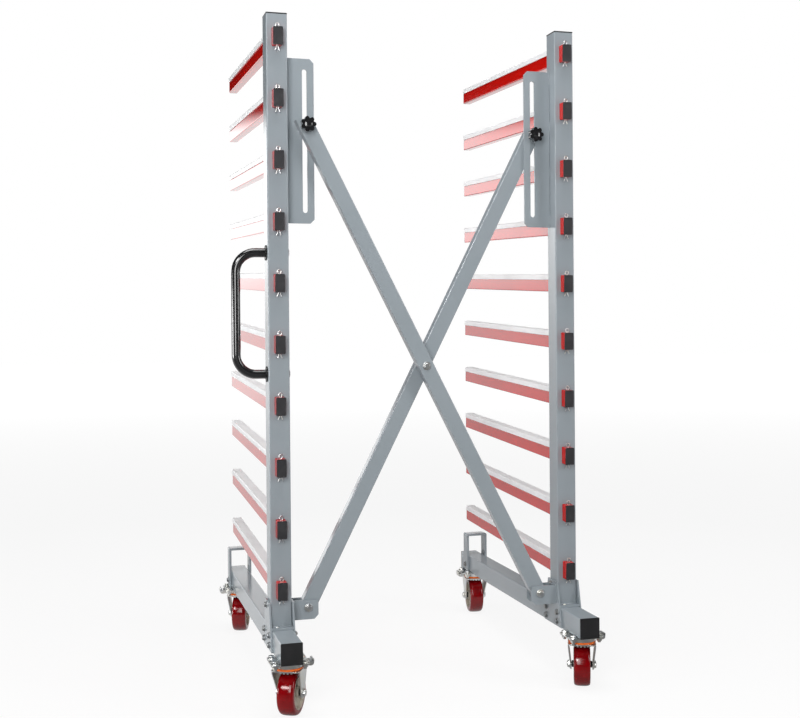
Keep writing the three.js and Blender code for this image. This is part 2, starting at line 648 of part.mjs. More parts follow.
// Wheel about its own middle, turned on X, with a flat of its tread at the bottom
function wheelGeometry() {
  const half = WHEEL_WIDTH / 2;
  const rim = WHEEL_RADIUS / Math.cos(Math.PI / WHEEL_SIDES);
  const bore = (AXLE_RADIUS + PIVOT_FIT) / Math.cos(Math.PI / WHEEL_SIDES);
  const rightHalf = [
    [rim, TREAD_FLAT / 2],
    [rim - TREAD_SHOULDER / 4, half - TREAD_SHOULDER / 2],
    [rim - TREAD_SHOULDER, half],
    [WHEEL_CORE_RADIUS, half],
    [WHEEL_CORE_RADIUS - WHEEL_DISH, half - WHEEL_DISH],
    [WHEEL_HUB_RADIUS, half - WHEEL_DISH],
    [WHEEL_HUB_RADIUS, half + WHEEL_HUB],
    [bore, half + WHEEL_HUB],
  ];
  const leftHalf = rightHalf.map(([radius, across]) => [radius, -across]).reverse();
  const profile = [...leftHalf, ...rightHalf, leftHalf[0]];
  const points = profile.map(([radius, across]) => new THREE.Vector2(radius, across));
  const wheel = new THREE.LatheGeometry(points, WHEEL_SIDES);
  return toGeometry(toSolid(wheel)).rotateZ(-Math.PI / 2).rotateX(Math.PI / WHEEL_SIDES);
}

function addCaster(side, end) {
  const name = `${side}_${end}`;
  const alongBase = end === 'rear' ? BASE_REAR - CASTER_REAR : CASTER_SETBACK - BASE_REACH;
  const mount = new THREE.Group();
  mount.position.set(SIDES[side] * SPAN / 2, alongBase, 0);
  cart.add(mount);
  const fixed = new THREE.Group();
  fixed.rotation.z = end === 'front' ? 0 : Math.PI;
  mount.add(fixed);
  place(`${name}_caster_plate`, casterPlateGeometry(), ZINC, fixed);
  place(`${name}_swivel_lock`, leverGeometry(), ZINC, fixed);
  const swivel = new THREE.Group();
  swivel.rotation.z = THREE.MathUtils.degToRad(CASTER_TURN[name]);
  mount.add(swivel);
  place(`${name}_caster_fork`, forkGeometry(), ZINC, swivel);
  const wheel = place(`${name}_wheel`, wheelGeometry(), RED_TREAD, swivel);
  wheel.position.set(0, CASTER_TRAIL, WHEEL_RADIUS);
}

for (const side of Object.keys(SIDES)) {
  addFrame(side);
  addCaster(side, 'front');
  addCaster(side, 'rear');
}
addHandle();
addBar('front_brace_bar', -1, FRONT_BAR_FRONT);
addBar('rear_brace_bar', 1, REAR_BAR_FRONT);
addBolts();
addKnob('left_star_knob', -PIVOT_X, FRONT_BAR_FRONT, KNOB_HUB, SLOT_REAR);
addKnob('right_star_knob', PIVOT_X, SLOT_SETBACK, LONG_HUB, REAR_BAR_REAR);

// Origin on the floor, at the middle of the cart's footprint
cart.updateMatrixWorld(true);
const bounds = new THREE.Box3().setFromObject(cart, true);
const middle = bounds.getCenter(new THREE.Vector3());
cart.position.set(-middle.x, -middle.y, -bounds.min.z);

export default cart;
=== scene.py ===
# %% [markdown]
# # Dressing a sheet goods cart
#
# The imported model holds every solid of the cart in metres, floor at zero, front towards -Y. This lesson
# adds what a plain solid lacks: rounded corners, end plugs, split pins, welds, real casters and paint.
# Each piece is drawn where the solid is, rides on the body that carries it, and stands for the solid.

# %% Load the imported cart
import json
import math

import bpy
from mathutils import Matrix, Vector


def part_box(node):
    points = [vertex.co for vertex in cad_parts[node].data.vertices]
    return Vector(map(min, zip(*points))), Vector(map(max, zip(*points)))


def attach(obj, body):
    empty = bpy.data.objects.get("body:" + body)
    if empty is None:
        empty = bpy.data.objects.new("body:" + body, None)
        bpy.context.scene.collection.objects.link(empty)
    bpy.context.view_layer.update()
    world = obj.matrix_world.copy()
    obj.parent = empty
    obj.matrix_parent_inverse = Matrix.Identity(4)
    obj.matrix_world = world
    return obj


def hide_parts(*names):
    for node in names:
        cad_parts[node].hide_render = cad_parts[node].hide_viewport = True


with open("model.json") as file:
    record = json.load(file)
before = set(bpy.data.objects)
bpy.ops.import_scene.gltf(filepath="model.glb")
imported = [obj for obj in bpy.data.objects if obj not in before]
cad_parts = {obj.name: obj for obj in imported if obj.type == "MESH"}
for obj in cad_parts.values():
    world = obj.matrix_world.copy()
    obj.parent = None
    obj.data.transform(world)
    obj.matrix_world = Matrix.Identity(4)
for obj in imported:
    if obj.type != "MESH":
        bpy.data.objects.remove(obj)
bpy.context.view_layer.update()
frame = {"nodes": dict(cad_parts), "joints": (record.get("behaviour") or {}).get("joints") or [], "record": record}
JOINTS = {joint["name"]: joint for joint in frame["joints"]}
MOUNTS = {mount["name"]: mount for mount in frame["record"]["mounts"]}
MM = 0.001
X, Y, Z = 0, 1, 2
SIDES = ("left", "right")
scene = bpy.context.scene

# %% [markdown]
# ## Camera
#
# The camera stands where the photograph was taken from: in front, a little to the left, at chest height.
# A focal length in pixels becomes a lens in millimetres, and a small shift puts the horizon on its row.

# %% Camera
IMAGE_WIDTH, IMAGE_HEIGHT = 800, 718
FOCAL_PIXELS = 1165.7
HORIZON_ROW = 329.7
EYE = Vector((-0.9771, -3.6105, 1.0697))
YAW, PITCH, ROLL = (math.radians(angle) for angle in (15.954, -0.299, 0.448))

ahead = Vector((math.sin(YAW) * math.cos(PITCH), math.cos(YAW) * math.cos(PITCH), math.sin(PITCH)))
level = Vector((math.cos(YAW), -math.sin(YAW), 0))
above = level.cross(ahead)
rightward = math.cos(ROLL) * level - math.sin(ROLL) * above
upward = math.sin(ROLL) * level + math.cos(ROLL) * above

bpy.ops.object.camera_add()
camera = bpy.context.object
camera.matrix_world = Matrix.Translation(EYE) @ Matrix((rightward, upward, -ahead)).transposed().to_4x4()
camera.data.lens = FOCAL_PIXELS / IMAGE_WIDTH * camera.data.sensor_width
camera.data.shift_y = (HORIZON_ROW - IMAGE_HEIGHT / 2) / IMAGE_WIDTH
scene.camera = camera
print("lens", round(camera.data.lens, 2), "mm, shift", round(camera.data.shift_y, 4))

# %% [markdown]
# ## Shader maths
#
# Clicking Math nodes together is slow to read. A small class wraps a socket, so that an expression such
# as `0.3 + 0.1 * cloud` adds the nodes itself. Every other node comes from one method.


# %% Shader maths
class Wire:
    """An output socket. Arithmetic on it adds Math nodes."""

    def __init__(self, nodes, socket):
        self.nodes = nodes
        self.socket = socket

    def __add__(self, other):
        return self.nodes.maths("ADD", self, other)

    def __radd__(self, other):
        return self.nodes.maths("ADD", other, self)

    def __sub__(self, other):
        return self.nodes.maths("SUBTRACT", self, other)

    def __rsub__(self, other):
        return self.nodes.maths("SUBTRACT", other, self)

    def __mul__(self, other):
        return self.nodes.maths("MULTIPLY", self, other)

    def __rmul__(self, other):
        return self.nodes.maths("MULTIPLY", other, self)


class Nodes:
    """A node tree that is being built."""

    def __init__(self, tree):
        self.tree = tree

    def add(self, kind, settings=None, sockets=None, output=0):
        """Adds a node: its settings first, then the values or links of its sockets."""
        made = self.tree.nodes.new("ShaderNode" + kind)
        for name, value in (settings or {}).items():
            setattr(made, name, value)
        for key, value in (sockets or {}).items():
            self.feed(made.inputs[key], value)
        return Wire(self, made.outputs[output])

    def feed(self, socket, value):
        if isinstance(value, Wire):
            self.tree.links.new(value.socket, socket)
        else:
            socket.default_value = value

    def maths(self, operation, first, second):
        return self.add("Math", {"operation": operation}, {0: first, 1: second})

    def blend(self, factor, first, second):
        """Mixes two colours."""
        return self.add("Mix", {"data_type": "RGBA"}, {0: factor, 6: first, 7: second}, output=2)

    def grain(self, place, scale, detail=2.0):
        """Noise with that many lumps to the metre."""
        return self.add("TexNoise", None, {"Vector": place, "Scale": scale, "Detail": detail})

    def ramp(self, value, low, high, start=0.0, end=1.0):
        """Value from low to high becomes start to end, and stays there."""
        sockets = {"Value": value, "From Min": low, "From Max": high, "To Min": start, "To Max": end}
        return self.add("MapRange", None, sockets)


print("shader maths ready")

# %% [markdown]
# ## Studio
#
# The cart stands on a pale floor in soft light. To the camera the world is white. Painted and plated
# surfaces mirror more than that: a bright backdrop behind the cart that ends a little above the horizon,
# a narrow taller panel straight behind, and a dark room over it and in front. That is what washes the
# middle arms pale, leaves the top ones deep red and keeps the black plugs black. A small bright patch
# high on the left shows only in what mirrors it, as a glint on wheels and bolts. Two tall softboxes
# stand left and right of the camera, a far one fills the left side and one hangs over the cart.

# %% Studio
DOME_LIGHT = 0.13
ROOM_LIGHT = 0.005
FALL = (1, 0)
BACKDROP_TOP, BACKDROP_FADE, BACKDROP_LIGHT = (0.160, 0.178), (0.0, 0.07), (1.6, 3.1)
BACKDROP_MIDDLE, MIDDLE_LIGHT = (-0.36, -0.12), (1.0, 0.72)
BACKDROP_LEFT, LEFT_LIGHT = (-0.62, -0.48), (0.1, 1.0)
PANEL_TOP, PANEL_LIGHT = (0.30, 0.36), 1.0
PANEL_LEFT, PANEL_RIGHT = (-0.05, 0.05), (0.22, 0.34)
GLINT_ACROSS, GLINT_DEPTH, GLINT_LIGHT = 0.66, 0.75, 26.0
GLINT_LEFT, GLINT_RIGHT, GLINT_FRONT = (-0.20, -0.15), (0.15, 0.20), (-0.2, -0.1)
GLINT_LOW, GLINT_TOP = (0.46, 0.50), (0.60, 0.64)
BEHIND_CART = (-0.30, 0.10)

scene.view_settings.view_transform = "Standard"
world = bpy.data.worlds.new("studio")
scene.world = world
world.use_nodes = True
sky = Nodes(world.node_tree)
background = world.node_tree.nodes["Background"]
seen = sky.add("LightPath", output="Is Camera Ray")
mirrored = sky.maths(
    "MAXIMUM",
    sky.add("LightPath", output="Is Glossy Ray"),
    sky.add("LightPath", output="Is Transmission Ray"),
)
direction = sky.add("TexCoord", output="Generated")
across, depth, height = (sky.add("SeparateXYZ", None, {0: direction}, output=axis) for axis in "XYZ")
backdrop = sky.ramp(height, *BACKDROP_TOP, *FALL) * sky.ramp(height, *BACKDROP_FADE, *BACKDROP_LIGHT)
backdrop = backdrop * sky.ramp(across, *BACKDROP_MIDDLE, *MIDDLE_LIGHT)
backdrop = backdrop * sky.ramp(across, *BACKDROP_LEFT, *LEFT_LIGHT)
panel = sky.ramp(height, *PANEL_TOP, PANEL_LIGHT, 0)
panel = panel * sky.ramp(across, *PANEL_LEFT) * sky.ramp(across, *PANEL_RIGHT, *FALL)
turn = GLINT_ACROSS * across - GLINT_DEPTH * depth
glint = sky.ramp(turn, *GLINT_LEFT) * sky.ramp(turn, *GLINT_RIGHT, *FALL)
glint = glint * sky.ramp(depth, *GLINT_FRONT, GLINT_LIGHT, 0)
glint = glint * sky.ramp(height, *GLINT_LOW) * sky.ramp(height, *GLINT_TOP, *FALL)
behind_cart = sky.ramp(depth, *BEHIND_CART)
reflected = ROOM_LIGHT + glint + sky.maths("MAXIMUM", backdrop, panel) * behind_cart
unseen = mirrored * reflected + (1 - mirrored) * DOME_LIGHT
sky.feed(background.inputs["Strength"], seen + (1 - seen) * unseen)
background.inputs["Color"].default_value = (1, 1, 1, 1)


def softbox(name, place, aim, size, watts):
    """A soft rectangular lamp that points at aim."""
    bpy.ops.object.light_add(type="AREA", location=place)
    lamp = bpy.context.object
    lamp.name = name
    lamp.rotation_euler = (Vector(aim) - Vector(place)).to_track_quat("-Z", "Y").to_euler()
    lamp.data.shape = "RECTANGLE"
    lamp.data.size, lamp.data.size_y = size
    lamp.data.energy = watts


softbox("left_lamp", (-1.6, -3.3, 2.05), (0, 0, 1.8), (1.2, 2.3), 76)
softbox("right_lamp", (3.0, -2.6, 2.0), (0, 0, 1.7), (1.0, 2.0), 47)
softbox("side_fill", (-6.0, -0.2, 0.6), (0, 0.1, 0.4), (1.6, 1.4), 150)
softbox("overhead", (-0.3, -0.6, 4.0), (0, 0.2, 0.8), (2.4, 1.8), 84)

# The floor glows though it is no lamp. To the camera it shows white over a faint shadow. In reflections it is
# painted light: dim in front of the cart, bright behind it and far away.
FLOOR_SIZE, FLOOR_DROP = 60.0, 0.5 * MM
FLOOR_GLOW = 0.80
PAPER_TONE = (0.55, 0.55, 0.55, 1)
MIRROR_BEHIND = (-0.8, 0.0, 0.10, 0.95)
MIRROR_FAR, SEEN_FAR = (3.5, 14.0, 0.0, 0.6), (3.0, 12.0, 1.10, 1.25)

bpy.ops.mesh.primitive_plane_add(size=FLOOR_SIZE, location=(0, 0, -FLOOR_DROP))
floor = bpy.context.object
floor.name = "floor"
paper = bpy.data.materials.new("floor_paper")
paper.use_nodes = True
sheet = Nodes(paper.node_tree)
matt = sheet.add("BsdfDiffuse", None, {"Color": PAPER_TONE}, output="BSDF")
spot = sheet.add("TexCoord", output="Object")
away = sheet.add("VectorMath", {"operation": "LENGTH"}, {0: spot}, output="Value")
looked_at = sheet.add("LightPath", output="Is Camera Ray")
mirror_ray = sheet.add("LightPath", output="Is Glossy Ray")
behind = sheet.add("SeparateXYZ", None, {0: spot}, output="Y")
bright = sheet.ramp(behind, *MIRROR_BEHIND) + sheet.ramp(away, *MIRROR_FAR)
strength = looked_at * sheet.ramp(away, *SEEN_FAR) + (1 - looked_at) * bright
glow = sheet.add("Emission", None, {"Strength": strength}, output="Emission")
shown = sheet.maths("MAXIMUM", looked_at, mirror_ray)
faded = sheet.add("MixShader", None, {0: shown * FLOOR_GLOW, 1: matt, 2: glow}, output="Shader")
sheet.feed(paper.node_tree.nodes["Material Output"].inputs["Surface"], faded)
floor.data.materials.append(paper)

# %% [markdown]
# ## Finishes
#
# Powder coat is a thick film that flows into a fine orange peel and never lies quite evenly. A slow
# cloud of noise gives that in the colour and gloss, and fast noise in the bumps. Moulded plastic has a
# fine spark-eroded grain, zinc plate has cloudy crystals and a hint of blue and yellow.


# %% Paint
def new_finish(name, **constants):
    """A material with its constants set on the shader. Returns it with its nodes, shader and place."""
    material = bpy.data.materials.new(name)
    material.use_nodes = True
    nodes = Nodes(material.node_tree)
    shader = material.node_tree.nodes["Principled BSDF"]
    for socket, value in constants.items():
        shader.inputs[socket.replace("_", " ")].default_value = value
    place = nodes.add("TexCoord", output="Object")
    return material, nodes, shader.inputs, place


def bump(nodes, inputs, relief, strength, depth):
    """Feeds a relief through one Bump node into the shader's normal."""
    sockets = {"Height": relief, "Strength": strength, "Distance": depth}
    nodes.feed(inputs["Normal"], nodes.add("Bump", None, sockets))


def powder_coat(name, tone, pale, gloss, coat):
    material, nodes, inputs, place = new_finish(name, Coat_Weight=coat, Coat_Roughness=0.05)
    cloud = nodes.grain(place, 5.0, 3.0)
    peel = nodes.grain(place, 420.0, 1.0)
    speck = nodes.grain(place, 2400.0, 1.0)
    nodes.feed(inputs["Base Color"], nodes.blend(nodes.ramp(cloud, 0.3, 0.7), tone, pale))
    nodes.feed(inputs["Roughness"], gloss + 0.05 * (cloud - 0.5) + 0.04 * (speck - 0.5))
    bump(nodes, inputs, peel + 0.25 * speck, 0.06, 0.12 * MM)
    return material


GREY_TONES = (0.292, 0.330, 0.356, 1), (0.308, 0.346, 0.374, 1)
RED_TONES = (0.54, 0.0050, 0.0022, 1), (0.58, 0.0066, 0.0030, 1)
GREY_COAT = powder_coat("grey_powder_coat", *GREY_TONES, gloss=0.16, coat=0.0)
RED_COAT = powder_coat("red_powder_coat", *RED_TONES, gloss=0.09, coat=0.05)
print("paints:", GREY_COAT.name, RED_COAT.name)


# %% Plastics
def moulded(name, tone, worn, gloss, relief, coat=0.0):
    """Injection moulded plastic: fine grain, and faint handling marks that shine."""
    constants = {"Coat_Weight": coat, "Coat_Roughness": 0.1, "Specular_IOR_Level": 0.3}
    material, nodes, inputs, place = new_finish(name, **constants)
    cloud = nodes.grain(place, 38.0, 4.0)
    spark = nodes.grain(place, 1900.0, 2.0)
    nodes.feed(inputs["Base Color"], nodes.blend(nodes.ramp(cloud, 0.45, 0.75), tone, worn))
    nodes.feed(inputs["Roughness"], gloss + 0.12 * (cloud - 0.5))
    bump(nodes, inputs, spark, relief, 0.15 * MM)
    return material


CAP_TONES = (0.016, 0.016, 0.017, 1), (0.021, 0.020, 0.022, 1)
PLUG_TONES = (0.030, 0.029, 0.032, 1), (0.042, 0.041, 0.044, 1)
GRIP_TONES = (0.012, 0.012, 0.013, 1), (0.017, 0.017, 0.018, 1)
SEAL_TONES = (0.86, 0.17, 0.025, 1), (0.78, 0.14, 0.02, 1)
CORE_TONES = (0.50, 0.45, 0.37, 1), (0.42, 0.38, 0.31, 1)
BLACK_CAP = moulded("black_cap_plastic", *CAP_TONES, gloss=0.50, relief=0.30)
GREY_PLUG = moulded("dark_plug_plastic", *PLUG_TONES, gloss=0.55, relief=0.35)
BLACK_GRIP = moulded("black_grip_plastic", *GRIP_TONES, gloss=0.18, relief=0.015, coat=1.0)
ORANGE_SEAL = moulded("orange_seal_plastic", *SEAL_TONES, gloss=0.42, relief=0.15)
CREAM_CORE = moulded("cream_core_plastic", *CORE_TONES, gloss=0.45, relief=0.30)

STRIP_TONES = (0.86, 0.87, 0.88, 1), (0.81, 0.82, 0.83, 1)
ALONG_ARM = (1.0, 0.012, 1.0)


def strip_plastic(name):
    """Extruded cover strip: pale, with die lines that run the length of the arm."""
    material, nodes, inputs, place = new_finish(name)
    lines = nodes.add("Mapping", None, {"Vector": place, "Scale": ALONG_ARM})
    drawn = nodes.grain(lines, 900.0, 2.0)
    cloud = nodes.grain(place, 14.0, 3.0)
    nodes.feed(inputs["Base Color"], nodes.blend(nodes.ramp(cloud, 0.35, 0.7), *STRIP_TONES))
    nodes.feed(inputs["Roughness"], 0.34 + 0.12 * (drawn - 0.5) + 0.10 * (cloud - 0.5))
    bump(nodes, inputs, drawn, 0.12, 0.2 * MM)
    return material


COVER_STRIP = strip_plastic("grey_cover_strip")
plastics = (BLACK_CAP, GREY_PLUG, BLACK_GRIP, ORANGE_SEAL, CREAM_CORE, COVER_STRIP)
print("plastics:", *(finish.name for finish in plastics))


# %% Metal and tread
def plated(name, cool, warm, gloss):
    """Zinc plate: metal with cloudy crystals and a faint passivation tint."""
    material, nodes, inputs, place = new_finish(name, Metallic=1.0)
    tint = nodes.grain(place, 60.0, 3.0)
    crystal = nodes.add("TexVoronoi", None, {"Vector": place, "Scale": 420.0}, output="Distance")
    scratch = nodes.grain(place, 1500.0, 2.0)
    nodes.feed(inputs["Base Color"], nodes.blend(nodes.ramp(tint, 0.35, 0.65), cool, warm))
    nodes.feed(inputs["Roughness"], gloss + 0.16 * (tint - 0.5) + 0.10 * crystal)
    bump(nodes, inputs, scratch + 0.5 * crystal, 0.10, 0.15 * MM)
    return material


ZINC = plated("zinc_plate", (0.62, 0.64, 0.66, 1), (0.67, 0.66, 0.61, 1), gloss=0.30)
# A darker and rougher copy of the zinc plate, for the frame bolts: its darker colour is painted shade.
SHADED_ZINC = plated("shaded_zinc_plate", (0.26, 0.275, 0.29, 1), (0.30, 0.30, 0.29, 1), gloss=0.46)
BLACKENED = plated("blackened_steel", (0.035, 0.035, 0.037, 1), (0.045, 0.043, 0.041, 1), gloss=0.38)
TREAD_TONES = (0.185, 0.0010, 0.0025, 1), (0.245, 0.0012, 0.0035, 1)


def poured_tread(name):
    """Cast polyurethane: deep glossy red, a little cloudy, with scuffs that have dulled."""
    material, nodes, inputs, place = new_finish(name, Specular_IOR_Level=0.4)
    cloud = nodes.grain(place, 45.0, 4.0)
    scuff = nodes.ramp(nodes.grain(place, 90.0, 5.0), 0.60, 0.80)
    nodes.feed(inputs["Base Color"], nodes.blend(nodes.ramp(cloud, 0.3, 0.7), *TREAD_TONES))
    nodes.feed(inputs["Roughness"], 0.16 + 0.02 * scuff)
    bump(nodes, inputs, nodes.grain(place, 1200.0, 1.0), 0.02, 0.05 * MM)
    return material


RED_TREAD = poured_tread("red_polyurethane")
print("metals and tread:", ZINC.name, SHADED_ZINC.name, BLACKENED.name, RED_TREAD.name)

# %% [markdown]
# ## A workbench of small tools
#
# Operators act on whatever is selected, so each helper first selects just what it needs. Faces and edges
# are picked by where they are or which way they point, as one would pick them by eye.


# %% Selecting and editing
SMOOTH_ANGLE = math.radians(32)


def deselect():
    """Leaves Edit Mode and clears the selection."""
    if bpy.context.object and bpy.context.object.mode != "OBJECT":
        bpy.ops.object.mode_set(mode="OBJECT")
    bpy.ops.object.select_all(action="DESELECT")


def alone(piece):
    """Selects this one piece and makes it active."""
    deselect()
    piece.select_set(True)
    bpy.context.view_layer.objects.active = piece


def pick(piece, kind, test):
    """Opens the piece in Edit Mode and selects only what passes the test."""
    alone(piece)
    bpy.ops.object.mode_set(mode="EDIT")
    bpy.ops.mesh.select_mode(type=kind)
    bpy.ops.mesh.select_all(action="DESELECT")
    bpy.ops.object.mode_set(mode="OBJECT")
    mesh = piece.data
    if kind == "FACE":
        for face in mesh.polygons:
            face.select = test(face.center, face.normal)
    elif kind == "EDGE":
        for edge in mesh.edges:
            edge.select = test(*(mesh.vertices[end].co for end in edge.vertices))
    else:
        for point in mesh.vertices:
            point.select = test(point.co)
    bpy.ops.object.mode_set(mode="EDIT")


def edit(piece, kind, test, operator, **settings):
    """Runs one Edit Mode operator on the faces, edges or points that pass the test."""
    pick(piece, kind, test)
    operator(**settings)
    bpy.ops.object.mode_set(mode="OBJECT")
    return piece


def everything(*_):
    return True


def runs(axis):
    """Test for edges that run along an axis."""
    return lambda start, end: abs((end - start).normalized()[axis]) > 0.99


def faces(axis, sign=0):
    """Test for faces that look along an axis: one way, or both where sign is 0."""
    return lambda middle, normal: (abs(normal[axis]) if sign == 0 else sign * normal[axis]) > 0.9


def modify(piece, kind, **settings):
    """Adds a modifier, sets it and applies it."""
    alone(piece)
    bpy.ops.object.modifier_add(type=kind)
    modifier = piece.modifiers[-1]
    for name, value in settings.items():
        setattr(modifier, name, value)
    bpy.ops.object.modifier_apply(modifier=modifier.name)
    return piece


def smooth(piece):
    """Shades curves smooth and keeps flats flat."""
    alone(piece)
    bpy.ops.object.shade_smooth_by_angle(angle=SMOOTH_ANGLE)
    return modify(piece, "WEIGHTED_NORMAL", keep_sharp=True)


def soften(piece, width, segments=2):
    """Rounds the sharp edges, as paint, a file or a mould leaves them."""
    limit = {"limit_method": "ANGLE", "angle_limit": SMOOTH_ANGLE}
    modify(piece, "BEVEL", width=width, segments=segments, **limit)
    return smooth(piece)


def carve(piece, cutter):
    """Cuts one piece out of another and throws the cutter away."""
    modify(piece, "BOOLEAN", object=cutter, operation="DIFFERENCE", solver="EXACT")
    bpy.data.objects.remove(cutter)
    return piece


def face_out(piece):
    """Merges points that coincide and turns the faces outwards."""
    edit(piece, "VERT", everything, bpy.ops.mesh.remove_doubles, threshold=0.005 * MM)
    return edit(piece, "FACE", everything, bpy.ops.mesh.normals_make_consistent, inside=False)


print("editing tools ready")

# %% [markdown]
# Most parts of a cart start as a block, a rod, a turned ring, a folded strip or a bent wire. Each of
# these starts from one primitive, and the place goes into the mesh at once.


# %% Blanks
def in_mm(points):
    """Points or profiles given in millimetres, in metres."""
    return [tuple(value * MM for value in point) for point in points]


def named(name):
    """Names the new object and puts its place into its mesh."""
    piece = bpy.context.object
    piece.name = piece.data.name = name
    bpy.ops.object.transform_apply(location=True, rotation=True, scale=True)
    return piece


def block(name, low, high):
    deselect()
    low, high = Vector(low), Vector(high)
    bpy.ops.mesh.primitive_cube_add(size=1, location=(low + high) / 2, scale=high - low)
    return named(name)


def aimed(origin, axis):
    """Matrix that carries something drawn on the Z axis to an origin, along another axis."""
    swing = Vector((0, 0, 1)).rotation_difference(Vector(axis))
    return Matrix.Translation(origin) @ swing.to_matrix().to_4x4()


def rod(name, radius, start, end, sides=24):
    deselect()
    start, end = Vector(start), Vector(end)
    turn = (end - start).to_track_quat("Z", "Y").to_euler()
    middle = (start + end) / 2
    size = {"radius": radius, "depth": (end - start).length}
    bpy.ops.mesh.primitive_cylinder_add(vertices=sides, location=middle, rotation=turn, **size)
    return named(name)


def turned(name, profile, steps=48):
    """Turns a profile of (radius, height) on the Z axis: each ring is extruded from the last and scaled.
    A profile that ends where it began is a closed ring, and any other gets a lid at both ends."""
    (radius, height), *rings = profile
    deselect()
    bpy.ops.mesh.primitive_circle_add(vertices=steps, radius=radius, location=(0, 0, height))
    piece = named(name)
    pick(piece, "VERT", everything)
    for next_radius, next_height in rings:
        rise = (0, 0, next_height - height)
        bpy.ops.mesh.extrude_region_move(TRANSFORM_OT_translate={"value": rise})
        scale = next_radius / radius
        bpy.ops.transform.resize(value=(scale, scale, 1), center_override=(0, 0, next_height))
        radius, height = next_radius, next_height
    if profile[0] != profile[-1]:
        bpy.ops.mesh.edge_face_add()
        bpy.ops.mesh.select_all(action="DESELECT")
        bpy.ops.mesh.select_non_manifold()
        bpy.ops.mesh.edge_face_add()
    return face_out(piece)


def folded_strip(name, path, width, thickness):
    """A strip of sheet, folded along a path of (x, z), with its width along Y."""
    start, end, *folds = (Vector((x, 0, z)) for x, z in path)
    deselect()
    lean = math.atan2(start.z - end.z, end.x - start.x)
    size = ((end - start).length, width, 1)
    bpy.ops.mesh.primitive_plane_add(size=1, location=(start + end) / 2, rotation=(0, lean, 0))
    bpy.context.object.scale = size
    piece = named(name)
    is_end = lambda *points: max((point.xz - end.xz).length for point in points) < 0.001 * MM
    pick(piece, "EDGE", is_end)
    for fold in folds:
        bpy.ops.mesh.extrude_region_move(TRANSFORM_OT_translate={"value": fold - end})
        end = fold
    face_out(piece)
    return modify(piece, "SOLIDIFY", thickness=thickness, offset=0)


def wire(name, points, radius, swell=None, sides=3):
    """A round wire through points, thicker or thinner by swell at each."""
    deselect()
    bpy.ops.curve.primitive_nurbs_path_add()
    line = bpy.context.object
    spline = line.data.splines[0]
    spline.points.add(len(points) - len(spline.points))
    for knot, point, share in zip(spline.points, points, swell or [1.0] * len(points)):
        knot.co = (*point, 1)
        knot.radius = share
    spline.use_endpoint_u = True
    spline.order_u = 3
    spline.resolution_u = 5
    line.data.bevel_depth = radius
    line.data.bevel_resolution = sides
    line.data.use_fill_caps = True
    bpy.ops.object.convert(target="MESH")
    return smooth(face_out(named(name)))


print("blanks ready")


# %% Copies and placing
def twin(piece, name, place):
    """A copy with its own mesh, carried to another place."""
    alone(piece)
    bpy.ops.object.duplicate()
    copy = bpy.context.object
    copy.matrix_world = place
    return named(name)


def moved(piece, place):
    """Carries a piece to its place."""
    alone(piece)
    piece.matrix_world = place
    return named(piece.name)


def unite(name, pieces):
    """Joins pieces into one object."""
    alone(pieces[0])
    for piece in pieces:
        piece.select_set(True)
    bpy.ops.object.join()
    return named(name)


def discard(*pieces):
    """Removes templates once their copies are made."""
    for piece in pieces:
        bpy.data.objects.remove(piece)


def solid_copy(node, name):
    """A copy of a solid to work on: its loose triangles are merged and its flats made whole again."""
    copy = bpy.data.objects.new(name, frame["nodes"][node].data.copy())
    scene.collection.objects.link(copy)
    alone(copy)
    bpy.ops.mesh.customdata_custom_splitnormals_clear()
    edit(copy, "VERT", everything, bpy.ops.mesh.remove_doubles, threshold=0.01 * MM)
    return edit(copy, "FACE", everything, bpy.ops.mesh.dissolve_limited, angle_limit=math.radians(1))


def dress(piece, finish, body, slot=None, *nodes):
    """Paints a piece, puts it on its body and hides the solids it stands for."""
    piece.data.materials.clear()
    piece.data.materials.append(finish)
    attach(piece, body)
    if nodes:
        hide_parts(*nodes)
    return piece


def middle_of(node):
    low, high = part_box(node)
    return (low + high) / 2


print("copying and dressing tools ready")

# %% [markdown]
# ## Uprights and base tubes
#
# Square tube is rolled from strip, so its corners are round. A block with four bevelled edges, its ends
# removed and a wall given by Solidify is the same shape. The arms pass through windows, cut by one
# Boolean for all ten.

# %% Arm places
LEVELS = range(1, 11)
ARM_WIDTH, ARM_DEPTH, ARM_CORNER, ARM_WALL = 28 * MM, 51 * MM, 3 * MM, 2 * MM
COVER = 2.5 * MM
lowest, highest = (Vector(MOUNTS[f"left_arm_{level:02d}_top"]["pos_m"]) for level in (1, 10))
arm_normal = Vector(MOUNTS["left_arm_01_top"]["axis"])
ARM_RISE = math.atan2(-arm_normal.y, arm_normal.z)
ARM_PITCH = (highest.z - lowest.z) / (len(LEVELS) - 1)
upright_y = middle_of("left_upright").y
ARM_FOOT = lowest.z - (ARM_DEPTH / 2 + COVER) * arm_normal.z
ARM_FOOT += (upright_y - lowest.y - (ARM_DEPTH / 2 + COVER) * -arm_normal.y) * math.tan(ARM_RISE)


def arm_place(side, level):
    """Matrix from an arm's own frame, at the middle of its upright, to the cart."""
    origin = (middle_of(side + "_upright").x, upright_y, ARM_FOOT + ARM_PITCH * (level - 1))
    return Matrix.Translation(origin) @ Matrix.Rotation(ARM_RISE, 4, "X")


print("arms rise", round(math.degrees(ARM_RISE), 2), "degrees, pitch", round(ARM_PITCH, 4))

# %% Tubes
TUBE_CORNER, TUBE_WALL, TUBE_STEPS = 3.5 * MM, 3 * MM, 5
WINDOW_FIT, WINDOW_REACH = 0.3 * MM, 60 * MM


def hollow(tube, axis, corner, wall, segments):
    """Rounds a block's long edges, opens its ends and gives it a wall."""
    edit(tube, "EDGE", runs(axis), bpy.ops.mesh.bevel, offset=corner, segments=segments)
    edit(tube, "FACE", faces(axis), bpy.ops.mesh.delete, type="FACE")
    return modify(tube, "SOLIDIFY", thickness=wall, offset=-1)


